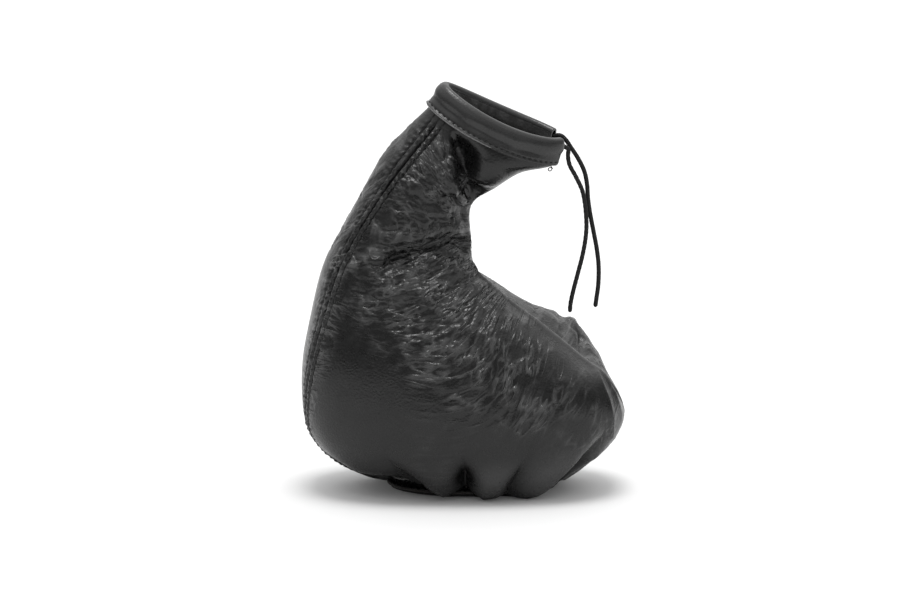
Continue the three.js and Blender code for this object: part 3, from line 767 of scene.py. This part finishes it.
HEM_LIFTS = np.array([  # how far the gathered edge stands off the floor, by angle
    (0, 3), (10, 6), (20, 8), (29, 9), (45, 10), (58, 6), (71, 1.5), (78, 4), (85, 7), (90, 4),
    (96, 0.5), (104, 1.2), (111, 3.5), (117, 1), (124, 0), (132, 0.8), (140, 3), (150, 5),
    (162, 8), (172, 6), (186, 2), (200, 5), (214, 1), (232, 7), (247, 0.5), (262, 4), (276, 0),
    (290, 8), (304, 1), (318, 5), (332, 0), (345, 4), (360, 3),
], float)


def from_line(line, points):
    """How far points lie from a line seen from the side: positive above or right of it."""
    x, z = points[..., 0], points[..., 2]
    best = np.full(x.shape, 1e9)
    for (ax, az), (bx, bz) in zip(line, line[1:]):
        dx, dz = bx - ax, bz - az
        t = np.clip(((x - ax) * dx + (z - az) * dz) / (dx * dx + dz * dz), 0, 1)
        away = np.hypot(x - ax - t * dx, z - az - t * dz)
        signed = np.where(dx * (z - az) - dz * (x - ax) < 0, -away, away)
        best = np.where(away < np.abs(best), signed, best)
    return best


def tapered(line, points):
    """A fold that runs forwards starts shallow; an upright one doesn't."""
    start, end = line[0][0], line[-1][0]
    if end - start < 15:
        return 1.0
    return smoothstep(points[..., 0], start - 3, start + 12)


def gather_pinch(angle):
    """How far the hem is pinched in at an angle: most at each pinch, and 0 between two."""
    angle = np.mod(angle, 360)
    count = len(PINCH_ANGLES)
    after = np.searchsorted(PINCH_ANGLES, angle, side="right")
    start = PINCH_ANGLES[(after - 1) % count] - np.where(after == 0, 360, 0)
    end = PINCH_ANGLES[after % count] + np.where(after == count, 360, 0)
    share = (angle - start) / (end - start)
    strength = PINCH_STRENGTHS[np.where(share < 0.5, after - 1, after) % count]
    return strength * (1 - np.sin(np.pi * share))**1.3


def fold_relief(station, angle, points):
    """How far the large folds move the smooth boot outwards."""
    angle = np.mod(angle, 360)
    leftness = np.sin(np.radians(angle))
    out = np.zeros(angle.shape)
    for line, depth, above, below, side in FOLDS:
        away = from_line(line, points)
        valley = bump(away, np.where(away > 0, above, below)) * tapered(line, points)
        out -= depth * valley * smoothstep(side * leftness, 0.05, 0.35)
    out *= smoothstep(station, COLLAR, COLLAR + 0.5)
    long_crease = np.exp(-np.abs(from_line(LONG_CREASE, points)) / LONG_CREASE_WIDTH)
    out += LONG_CREASE_HEIGHT * long_crease * smoothstep(leftness, 0.12, 0.34)
    for at, reach, turn, width, height in SWELLS:
        out += height * bump(station - at, reach) * bump(angle - turn, width)
    crest = 1.8 * bump(angle - 142, 15) - 2.0 * bump(angle - 178, 9)
    crest += 1.6 * np.exp(-np.abs(angle - CREST_ANGLE) / 2.2)
    out += crest * span(station, 5.7, 6.5, 10.2, 11.2)
    gathered = smoothstep(station, HEM_FLAT - 3.4, HEM_FLAT - 1.2)
    gathered *= 1 - 0.6 * smoothstep(station, HEM_FLAT - 1, HEM_FLAT)
    return out + GATHER_DEPTH * gathered * (0.35 - gather_pinch(angle))


def pleat_relief(station, angle, points):
    """Small sharp pleats and ridges, their lines made uneven by a little noise."""
    leftness = np.sin(np.radians(angle))
    uneven = points.copy()
    for axis, seed in ((0, 5.0), (2, 9.0)):
        uneven[..., axis] += 1.3 * solid_noise(points / 7.0 + seed)
    out = np.zeros(leftness.shape)
    for line, depth, above, below, side in PLEATS:
        away = from_line(line, uneven if depth < 4 else points)
        valley = np.exp(-np.abs(away / np.where(away > 0, above, below))**1.3) * tapered(line, points)
        out -= depth * valley * smoothstep(side * leftness, 0.05, 0.35)
    for line, height, width in RIDGES:
        away = np.abs(from_line(line, points))
        out += height * np.exp(-away / width) * smoothstep(leftness, 0.02, 0.2)
    return out * smoothstep(station, COLLAR + 0.05, COLLAR + 0.5)


def leather_point(station, angle):
    """A point on the outside of the leather, with its large folds."""
    station, angle = np.broadcast_arrays(np.asarray(station, float), angle)
    point = smooth_point(station, angle)
    low = np.minimum(station, HEM_FLAT - 0.03)
    turn = smooth_point(low, angle + 1) - smooth_point(low, angle - 1)
    down = smooth_point(low + 0.02, angle) - smooth_point(low - 0.02, angle)
    out = unit(np.cross(down, turn))
    out[..., 2] *= 1 - smoothstep(station, HEM_FLAT - 1, HEM_FLAT)
    fade = np.clip(HEM - station, 0, 1)
    point = point + unit(out) * (fold_relief(station, angle, point) * fade)[..., None]
    point[..., 2] = np.where(station > HEM_FLAT - 0.01, 0, np.maximum(point[..., 2], 0))
    lift = np.interp(np.mod(angle, 360), HEM_LIFTS[:, 0], HEM_LIFTS[:, 1])
    lift *= span(station, 11.6, 13.4, HEM_FLAT + 0.1, HEM - 0.05)
    point[..., 2] += lift
    return point


# %% [markdown]
# ## The two leather sides
# Each side is a grid of points from the back seam to the front seam, and from the top edge
# inside the collar down to the hem, where it turns up and back over the elastic. The columns
# are spaced by length, so the seam allowance and the rows of stitches keep their true widths.
# They crowd near the seams, where the relief is finest.

# %% Leather grids
COARSE_ROWS, COARSE_COLUMNS, FINE = 104, 88, 3
SEAM_GAP = 0.3
SEAM_ALLOWANCE = 7.0
TOPSTITCH_OFFSET = 3.7
TOPSTITCH_PITCH = 3.15
TOPSTITCH_END = 12.9
HEM_RETURN = 6.5
ELASTIC_WIDTH, ELASTIC_THICKNESS = 5.0, 1.0
hem_radius = (2 * LEATHER_WALL + ELASTIC_THICKNESS + 2 * PIECE_GAP) / 2
EXTRA = 3
TOP_ROWS, HEM_ROWS = 8, 18
SEAM_CROWDING, CROWDING_REACH = 0.55, 0.04


def hem_point(turn, back, angle):
    """A point of the turned-up hem: so far round its roll, or so far back from the roll."""
    angle = np.asarray(angle, float)
    edge = smooth_point(HEM, angle)
    ring = smooth_point(HEM, angle + 1) - smooth_point(HEM, angle - 1)
    inwards = unit(np.stack([-ring[..., 1], ring[..., 0], np.zeros(angle.shape)], -1))
    edge = edge + inwards * (hem_radius * np.cos(turn) - back)[..., None]
    edge[..., 2] = hem_radius * (1 + np.sin(turn))
    return edge


def even_angles(station, start, end, columns):
    """Angles between two seams at even lengths round the boot, and the length between them."""
    fine = np.linspace(start, end, 240)
    walked = walk(smooth_point(station, fine))
    whole = walked[-1]
    inset = SEAM_GAP / 2
    share = (np.arange(columns) - EXTRA) / (columns - 2 * EXTRA - 1)
    fine_share = np.linspace(0, 1, 400)
    crowded = bump(fine_share, CROWDING_REACH) + bump(1 - fine_share, CROWDING_REACH)
    density = 1 - SEAM_CROWDING * crowded
    spaced = np.concatenate([[0], np.cumsum((density[1:] + density[:-1]) / 2)])
    spaced /= spaced[-1]
    beyond = share - np.clip(share, 0, 1)
    share = np.interp(share, fine_share, spaced) + (1 - SEAM_CROWDING) * beyond
    wanted = inset + share * (whole - 2 * inset)
    angles = np.interp(wanted, walked, fine)
    step = (fine[1] - fine[0]) / walked[1], (fine[-1] - fine[-2]) / (walked[-1] - walked[-2])
    angles = np.where(wanted < 0, start + wanted * step[0], angles)
    angles = np.where(wanted > whole, end + (wanted - whole) * step[1], angles)
    return angles, wanted, whole


def grid_facing(points):
    """Which way a grid of points faces at each of them."""
    down = np.gradient(points, axis=0)
    turn = np.gradient(points, axis=1)
    return unit(np.cross(down, turn))


def padded(values):
    """The body's rows, with the first and the last repeated for the top and the hem."""
    top, hem = values[:1].repeat(TOP_ROWS, 0), values[-1:].repeat(HEM_ROWS, 0)
    return np.concatenate([top, values, hem])


def leather_grid(side):
    """Rows of points of one side with its large folds, some columns past each seam."""
    rows, columns = COARSE_ROWS * FINE + 1, COARSE_COLUMNS * FINE + 1 + 2 * EXTRA
    spaced = np.linspace(COLLAR, HEM_FLAT, 400)
    walked = walk(smooth_point(spaced, 60 * side))
    even = np.linspace(0, walked[-1], rows - TOP_ROWS - HEM_ROWS)
    stations = np.interp(even, walked, spaced)
    seams = carried(PROFILE, stations)[:, [BACK_SEAM, FRONT_SEAM]]
    if side < 0:
        seams = np.stack([seams[:, 1], seams[:, 0] + 360], 1)
    laid = [even_angles(s, a, b, columns) for s, (a, b) in zip(stations, seams)]
    angles, across, whole = (np.array(values) for values in zip(*laid))
    heights = np.linspace(CASING_GRIP, 0.0, TOP_ROWS + 1)[:-1]
    top = [collar_point(angles[0], LEATHER_WALL / 2, up) for up in heights]
    body = leather_point(stations[:, None], angles)
    flat = leather_point(HEM_FLAT + np.array([[0.25], [0.5], [0.75], [1.0]]), angles[-1][None])
    roll, back = np.radians(np.linspace(-70, 90, 9)), np.linspace(0, HEM_RETURN, 6)[1:]
    hem = [hem_point(turn, 0.0, angles[-1]) for turn in roll]
    hem += [hem_point(roll[-1], far, angles[-1]) for far in back]
    points = np.concatenate([top, body, flat, hem])
    station_rows = padded(stations)
    station_rows[-HEM_ROWS:] = HEM
    print("grid of", points.shape[0], "rows and", points.shape[1], "columns")
    return points, station_rows, padded(angles), padded(across), padded(whole)


# %% [markdown]
# ## The fine relief
# A seam is a ditch with a puff of leather beside it, and each stitch pulls the leather down.
# The wrinkles are sharp creases that cross at a small angle, with puffs between them, where
# the marks put them. They fade near the seams and over the smooth crest at the front, and
# the shader gets its own height for the finest creases.

# %% Relief
CREASE_FORK = 0.26
RIGHT_SHIFT = np.array([37.3, 11.9, 23.1])


def seam_relief(from_seam, along_seam, stitched, seed):
    """The ditch of a seam, the puff beside it, and the pull and ripples of its stitches."""
    along_seam = np.broadcast_to(along_seam, from_seam.shape)
    wobble = solid_noise(np.stack([along_seam / 2.2, from_seam / 2.5, np.full(from_seam.shape, seed)], -1))
    out = -1.7 * np.exp(-(from_seam / 0.7)**1.5) + 0.35 * bump(from_seam - 2.0, 1.2)
    ripple = np.cos(2 * np.pi * along_seam / TOPSTITCH_PITCH + 2.0 * wobble)
    row = bump(from_seam - TOPSTITCH_OFFSET, 0.6)
    out -= stitched * row * (1.0 + 0.35 * ripple)
    beside = np.exp(-np.abs(from_seam - TOPSTITCH_OFFSET) / 2.4)
    out += stitched * beside * (1 - row) * (0.42 * ripple + 0.6 * wobble)
    return out


def wrinkle_noise(points, facing, direction, side):
    """Noise of five kinds: forked creases, finer ones, puffs, broad swells and patches."""
    place = points + RIGHT_SHIFT * (side < 0)
    middle = drawn_noise(place - 20, direction, 6.5, 26.0, 9)
    across_lie = np.cross(facing, direction)
    forks = []
    for turn in (-CREASE_FORK, CREASE_FORK):
        forked = direction * math.cos(turn) + across_lie * math.sin(turn)
        forks.append(np.abs(drawn_noise(place + 10 * turn, forked, 3.4, 12.0, 9)))
    creased = 1.0 - np.minimum(np.minimum(*forks) * 3.4, 1.7)
    finer = drawn_noise(place + 50, direction, 1.3, 6.0, 7)
    puffed = np.minimum(np.abs(middle) * 2.2, 1.0) - 0.5
    patchy = np.clip(solid_noise(place / 9.0) * 2.4 + 0.8, 0.05, 1.7)
    return creased, finer, puffed, solid_noise(place / 14.0), patchy


def wrinkle_heights(points, station, angle, from_back, from_front, height, side):
    """How high the creases of the mesh stand at each point, and those of the shader."""
    at_crest = span(station, 5.2, 7.6, 9.8, 11.2) * smoothstep(angle, 150, 172)
    at_crest *= bump(np.maximum(angle - 176, 0), 34)
    calm = 1 - 0.75 * bump(np.maximum(from_front, 0), 9.0) * (1 - smoothstep(station, 6, 7))
    if side < 0:
        calm *= 0.3 + 0.7 * smoothstep(from_back, 10, 32)
    tall = height * (0.75 + 0.7 * smoothstep(points[..., 2], 95, 130))
    tall *= smoothstep(tall, 0.04, 0.3) * calm * (1 - 0.9 * at_crest)
    fine = height * (1 - (0.5 if side > 0 else 0.1) * at_crest)
    by_seam = 0.34 * bump(from_back, 16.0) * (1 - smoothstep(station, 11, 13))
    return tall, np.maximum(fine, by_seam)


def painted_highlight_places(points, station, angle):
    """Where a highlight is painted pale: along the front crest, and on the crowns of the hem's gathers."""
    crest = np.exp(-np.abs(angle - CREST_ANGLE) / 1.1) * span(station, 5.9, 6.8, 9.2, 10.6)
    crowns = span(station, 11.2, 12.6, 13.2, 13.9) * smoothstep(points[..., 0], -30, 25)
    crowns *= np.clip(1 - 2.2 * gather_pinch(angle), 0, 1)
    return np.maximum(crest, 0.34 * crowns)


# %% [markdown]
# ## Laying the relief on a side
# The outside is a fine grid and the inside a coarse one, so four borders join three short
# edges to each long one. What the shader needs is kept on the mesh as attributes, and what
# a cutter of leather would need, the flat size of the sheet, is measured on the smooth grid.


# %% Side helpers
def two_faced(outer_points, inner_points):
    """Faces for a fine outside and a coarse inside joined at the borders, and their finish."""
    rows, columns = outer_points.shape[:2]
    low_rows, low_columns = inner_points.shape[:2]
    start = rows * columns
    outside = [face[::-1] for face in grid_faces(rows, columns)]
    inside = grid_faces(low_rows, low_columns, start=start)
    outer_index = np.arange(start).reshape(rows, columns)
    inner_index = start + np.arange(low_rows * low_columns).reshape(low_rows, low_columns)
    border = []
    for outer, inner, flip in ((outer_index, inner_index, False), (outer_index.T, inner_index.T, True)):
        for end, flipped in ((0, flip), (-1, not flip)):
            for k in range(inner.shape[1] - 1):
                a, b, c, d = outer[end, FINE * k:FINE * k + FINE + 1].tolist()
                low, high = inner[end, k:k + 2].tolist()
                for triangle in ([a, b, low], [b, c, low], [c, d, high], [c, high, low]):
                    border.append(triangle[::-1] if flipped else triangle)
    return outside + inside + border, [0] * len(outside) + [1] * (len(inside) + len(border))


def keep_on_mesh(piece, name, values):
    """Keeps a number or a vector for each point of the outside. The inside gets zeros."""
    kind, slot = ("FLOAT_VECTOR", "vector") if values.ndim == 3 else ("FLOAT", "value")
    attribute = piece.data.attributes.new(name, kind, "POINT")
    laid = np.zeros((len(piece.data.vertices), *values.shape[2:]), np.float32)
    laid[:values.shape[0] * values.shape[1]] = values.reshape(-1, *values.shape[2:])
    attribute.data.foreach_set(slot, laid.reshape(-1))


def flat_size(points):
    """Width, height and area of a sheet: its longest row, its longest column, and its whole."""
    quads = np.cross(points[1:, 1:] - points[:-1, :-1], points[1:, :-1] - points[:-1, 1:])
    area = float(np.linalg.norm(quads, axis=-1).sum()) / 2
    rows = np.linalg.norm(np.diff(points, axis=1), axis=-1).sum(1)
    columns = np.linalg.norm(np.diff(points, axis=0), axis=-1).sum(0)
    return (float(rows.max()), float(columns.max())), area


# %% Leather sides
def leather_side(name, side, node):
    """One side of the boot: its piece, flat size and area, and what its stitches need."""
    points, station, angle, across, whole = leather_grid(side)
    station, angle = np.broadcast_to(station[:, None], across.shape), np.mod(angle, 360)
    facing = grid_facing(points)
    body = span(station, COLLAR + 0.1, COLLAR + 0.6, HEM_FLAT - 0.6, HEM_FLAT - 0.1)
    edges = [(across, walk(points[:, EXTRA])), (whole[:, None] - across, walk(points[:, -EXTRA - 1]))]
    (from_back, along_back), (from_front, along_front) = edges[::side]
    direction, height = crease_field(points, facing, side)
    creased, finer, puffed, broad, patchy = wrinkle_noise(points, facing, direction, side)
    tall, fine = wrinkle_heights(points, station, angle, from_back, from_front, height, side)
    inland = smoothstep(np.minimum(from_back, from_front), 3.0, 24.0)
    if side < 0:
        inland *= smoothstep(from_back, 10.0, 40.0)
    relief = tall * patchy * (creased + 0.3 * finer) + (2.0 * tall * puffed + 0.2 * broad) * inland
    relief += pleat_relief(station, angle, points)
    relief *= 1 - 0.8 * bump(np.maximum(from_back, 0), TOPSTITCH_OFFSET)
    stitched = 1 - smoothstep(station, TOPSTITCH_END - 0.6, TOPSTITCH_END)
    relief += seam_relief(np.abs(from_back), along_back[:, None], stitched, 3.0)
    relief += 0.5 * seam_relief(np.abs(from_front), along_front[:, None], 0.0, 8.0)
    moved = points + facing * (relief * body)[..., None]
    moved[..., 2] = np.maximum(moved[..., 2], 0.0)
    near_seam = np.minimum(from_back, from_front)
    layers = 1 + body * (1 - smoothstep(near_seam, SEAM_ALLOWANCE, SEAM_ALLOWANCE + 1))
    sunk = np.minimum(relief * body, 0)
    for axis in (0, 1):
        sunk = np.minimum.reduce([np.roll(sunk, k, axis) for k in (-2, -1, 0, 1, 2)])
    cut = slice(EXTRA, -EXTRA)
    outer_points = moved[:, cut]
    inner_points = (points + facing * (sunk - LEATHER_WALL * layers)[..., None])[::FINE, cut][:, ::FINE]
    faces, finish = two_faced(outer_points, inner_points)
    all_points = np.vstack([outer_points.reshape(-1, 3), inner_points.reshape(-1, 3)])
    piece = add_piece(name, all_points, faces, [boot_leather, suede], node, finish)
    # How high the fine creases stand, which also sets how pale their ridges are painted as a highlight.
    shown = np.clip(2.1 * fine * np.sqrt(patchy) * smoothstep(fine, 0.08, 0.36), 0, 1) * body
    keep_on_mesh(piece, "crease", shown[:, cut])
    # Where a highlight is painted pale: along the front crest and on the hem's gathers.
    keep_on_mesh(piece, "painted_highlight", painted_highlight_places(points, station, angle)[:, cut])
    keep_on_mesh(piece, "flow", crease_flow(points, facing, direction, side)[:, cut])
    flat_cut, area = flat_size(points[:, cut])
    print(f"  cut {flat_cut[0]:.0f} by {flat_cut[1]:.0f} mm, {area / 100:.0f} square cm")
    return piece, flat_cut, area, (moved, grid_facing(moved), station, from_back)


left_side, left_cut, left_area, left_surface = leather_side("left_side", 1, "left_leather_side")
right_side, right_cut, right_area, right_surface = leather_side("right_side", -1, "right_leather_side")

# %% [markdown]
# ## Stitches
# A stitch shows as a short length of thread that dives into the leather at both ends. Each is
# a small capsule of mesh laid along its seam, bent down at its ends. A row of them is one
# piece, so that the row rides and carries its finish as one.


# %% Stitch helper
def stitch_row(name, centres, directions, outs, length, thickness, node, extra=None):
    """One piece of many stitches, at the given centres. extra is more mesh for the piece."""
    rings, sides = 7, 8
    t = np.linspace(-1, 1, rings)
    body = np.sqrt(np.clip(1 - (t * 0.97)**4, 0, 1))
    turn = np.arange(sides) * 2 * np.pi / sides
    points, faces = [], []
    for centre, direction, out in zip(centres, unit(directions), unit(outs)):
        side = unit(np.cross(direction, out))
        path = centre + direction * (t * length / 2)[:, None] - out * (t**2 * thickness * 0.6)[:, None]
        ring = np.cos(turn)[None, :, None] * side + np.sin(turn)[None, :, None] * out
        start = len(points) * rings * sides
        points.append((path[:, None] + ring * (body * thickness / 2)[:, None, None]).reshape(-1, 3))
        faces += grid_faces(rings, sides, wrap_columns=True, start=start)
        faces.append([start + k for k in range(sides)][::-1])
        faces.append([start + (rings - 1) * sides + k for k in range(sides)])
    points = np.vstack(points)
    if extra is not None:
        faces += [[v + len(points) for v in face] for face in extra[1]]
        points = np.vstack([points, extra[0]])
    piece = add_piece(name, points, faces, [sewing_thread], node)
    return piece


def even_places(path, pitch, start=0.0):
    """Where to stop on a path for even steps, counted in its points."""
    walked = walk(path)
    return np.interp(np.arange(start, walked[-1], pitch), walked, np.arange(len(path)))


def at_rows(values, rows):
    """Values at places between rows, mixed from the row on either side."""
    low = np.floor(rows).astype(int)
    high = np.minimum(low + 1, len(values) - 1)
    share = (rows - low)[:, None]
    return values[low] * (1 - share) + values[high] * share


# %% Topstitch
STITCH_START, STITCH_RAISED = 0.8, 0.1
STITCH_LENGTH, STITCH_WIDTH = 2.35, 0.62


def topstitch(name, points, facing, station, from_back, node):
    """The row of stitches that runs down a side at an even distance from the back seam."""
    columns = []
    for away in np.abs(from_back):
        nearest = np.argsort(away)
        columns.append(np.interp(TOPSTITCH_OFFSET, away[nearest], nearest))
    low = np.floor(columns).astype(int)
    share = (np.array(columns) - low)[:, None]
    rows = np.arange(len(points))
    high = np.clip(low + 1, 0, points.shape[1] - 1)
    line = points[rows, low] * (1 - share) + points[rows, high] * share
    keep = (station[:, 0] > COLLAR + 0.04) & (station[:, 0] < TOPSTITCH_END)
    line, outwards = line[keep], facing[rows, low][keep]
    places = even_places(line, TOPSTITCH_PITCH, STITCH_START)
    along, outwards = at_rows(np.gradient(line, axis=0), places), at_rows(outwards, places)
    centres = at_rows(line, places) + outwards * STITCH_RAISED
    return stitch_row(name, centres, along, outwards, STITCH_LENGTH, STITCH_WIDTH, node)


left_row = topstitch("topstitch_left", *left_surface, "back_topstitch_left")
right_row = topstitch("topstitch_right", *right_surface, "back_topstitch_right")

# %% [markdown]
# ## Collar stitches
# The row that holds the collar on goes round the outside near the lower edge. At the near end
# a loose tail of thread is left over, curled as thread does when it is cut.

# %% Collar stitching
COLLAR_STITCH_LENGTH, COLLAR_STITCH_WIDTH = 2.2, 0.6
COLLAR_STITCH_SUNK = 0.05
LOOSE_SPACING, LOOSE_SIDES, LOOSE_RADIUS = 0.25, 6, 0.24
row_places = even_places(collar_line, COLLAR_PITCH, COLLAR_PITCH)
row_angles = np.interp(row_places, np.arange(COLLAR_STEPS), collar_angles)
reach = clasp + CASING_WALL - COLLAR_STITCH_SUNK
before, centres, after = (collar_point(row_angles + k, reach, CASING_STITCH) for k in (1, 0, -1))
outwards = centres - collar_point(row_angles, 0.0, CASING_STITCH)
loose = np.array([[40.5, -3.4, 167.0], [41.2, -3.8, 165.2], [42.8, -3.9, 164.4], [43.4, -4.0, 162.9],
                  [42.3, -4.1, 161.9], [41.5, -4.0, 162.8], [42.4, -3.9, 163.6], [43.9, -3.9, 163.2]])
loose_path = even_path(loose, LOOSE_SPACING)[0]
loose_thread = tube(loose_path, np.full((len(loose_path), LOOSE_SIDES), LOOSE_RADIUS))
collar_row = stitch_row("collar_stitches", centres, after - before, outwards, COLLAR_STITCH_LENGTH,
                        COLLAR_STITCH_WIDTH, "collar_stitching", loose_thread)

# %% [markdown]
# ## The hem
# Inside the turned-up hem lies a flat band of elastic, with ribs across it, and the edge of
# the leather is held by one more row of stitches that only shows from inside.

# %% Hem
RIBS = 190
hem_angles = np.linspace(0, 360, RIBS * 4, endpoint=False)
rib = 0.07 * np.cos(hem_angles * RIBS * np.pi / 180)
foot = LEATHER_WALL + PIECE_GAP
top = foot + ELASTIC_THICKNESS
ring = []
for back, level in ((0.0, foot), (0.0, top), (ELASTIC_WIDTH, top), (ELASTIC_WIDTH, foot)):
    loop = hem_point(np.radians(90), np.full(hem_angles.shape, back), hem_angles)
    loop[:, 2] = level + rib * (1 if level > foot else -1)
    ring.append(loop)
faces = [face[::-1] for face in grid_faces(len(hem_angles), 4, True, True)]
elastic = add_piece("elastic_band", np.stack(ring, 1), faces, [elastic_braid], "hem_elastic")

# %% Hem stitches
HEM_STITCH_INSET, HEM_STITCH_PITCH = 0.65, 4.0
HEM_STITCH_LENGTH, HEM_STITCH_WIDTH, HEM_STITCH_RAISED = 3.0, 0.6, 0.2
line_angles = np.linspace(0, 360, 721)
line_back = np.full(721, ELASTIC_WIDTH + HEM_STITCH_INSET)
hem_line = hem_point(np.radians(90), line_back, line_angles)
hem_line[:, 2] = 2 * hem_radius + HEM_STITCH_RAISED
places = even_places(hem_line, HEM_STITCH_PITCH)
upwards = np.tile([0.0, 0.0, 1.0], (len(places), 1))
stitch_row("hem_stitches", at_rows(hem_line, places), at_rows(np.gradient(hem_line, axis=0), places),
           upwards, HEM_STITCH_LENGTH, HEM_STITCH_WIDTH, "hem_stitching")

# %% [markdown]
# ## Floor and light
# The floor is white paper, wide enough to be the background too. One broad sun from straight
# above gives the leather its soft highlights. The sky fills in the rest: it is brighter
# overhead than low down, and brighter behind the boot than behind the camera.

# %% Floor and light
FLOOR_SIZE = 6.0
WHITE = (1.0, 1.0, 1.0, 1.0)
SUN_FROM = np.array([0.02, -0.02, 1.0])
SKY_HIGH, SKY_LOW = 1.7, 0.30
SKY_BEHIND_BOOT, SKY_BEHIND_CAMERA = 1.1, 0.65
BACKDROP = 0.6
SUN_STRENGTH, SUN_WIDTH = 1.6, math.radians(24)
PAPER_DARK, PAPER_LIGHT, PAPER_GLOW = 0.72, 0.74, 0.04
corners = [(-1, -1), (1, -1), (1, 1), (-1, 1)]
floor_mesh = bpy.data.meshes.new("floor")
floor_mesh.from_pydata([(x * FLOOR_SIZE, y * FLOOR_SIZE, 0) for x, y in corners], [], [(0, 1, 2, 3)])
floor = placed("floor", floor_mesh)
paper = Finish("floor_paper", Roughness=0.9, Specular_IOR_Level=0.1, Emission_Color=WHITE)
seen = paper.add("ShaderNodeLightPath").outputs["Is Camera Ray"]
floor_mesh.materials.append(paper.wear(
    Base_Color=paper.blend(paper.noise(3), PAPER_DARK, PAPER_LIGHT),
    Emission_Strength=paper.math("MULTIPLY", seen, PAPER_GLOW)))
sun_data = bpy.data.lights.new("sun", "SUN")
sun_data.energy = SUN_STRENGTH
sun_data.angle = SUN_WIDTH
sun = placed("sun", sun_data)
tilt = math.acos(SUN_FROM[2] / np.linalg.norm(SUN_FROM))
sun.rotation_euler = (0.0, tilt, math.atan2(SUN_FROM[1], SUN_FROM[0]))
world = bpy.data.worlds.new("studio")
bpy.context.scene.world = world
world.use_nodes = True
sky, sky_links = world.node_tree.nodes, world.node_tree.links


def sky_node(kind, **settings):
    node = sky.new(kind)
    for name, value in settings.items():
        setattr(node, name, value)
    return node


towards = sky_node("ShaderNodeSeparateXYZ")
sky_links.new(sky_node("ShaderNodeTexCoord").outputs["Generated"], towards.inputs[0])
shades = []
for axis, start, end, low, high in (("Z", 0.15, 0.95, SKY_LOW, SKY_HIGH),
                                    ("Y", -0.6, 0.9, SKY_BEHIND_CAMERA, SKY_BEHIND_BOOT),
                                    ("Y", 0.35, 0.95, 0.0, BACKDROP)):
    spread = sky_node("ShaderNodeMapRange", interpolation_type="SMOOTHSTEP")
    for socket, number in zip(("From Min", "From Max", "To Min", "To Max"), (start, end, low, high)):
        spread.inputs[socket].default_value = number
    sky_links.new(towards.outputs[axis], spread.inputs["Value"])
    shades.append(spread.outputs["Result"])
sky_shade = sky_node("ShaderNodeMath", operation="MULTIPLY")
camera_ray = sky_node("ShaderNodeLightPath").outputs["Is Camera Ray"]
shown = sky_node("ShaderNodeMath", operation="MAXIMUM")
with_backdrop = sky_node("ShaderNodeMath", operation="ADD")
for node, first, second in ((sky_shade, shades[0], shades[1]),
                            (with_backdrop, sky_shade.outputs[0], shades[2])):
    sky_links.new(first, node.inputs[0])
    sky_links.new(second, node.inputs[1])
sky_links.new(with_backdrop.outputs[0], shown.inputs[0])
sky_links.new(camera_ray, shown.inputs[1])
sky["Background"].inputs["Color"].default_value = WHITE
sky_links.new(shown.outputs[0], sky["Background"].inputs["Strength"])
print("sun tilted", round(math.degrees(tilt)), "degrees")
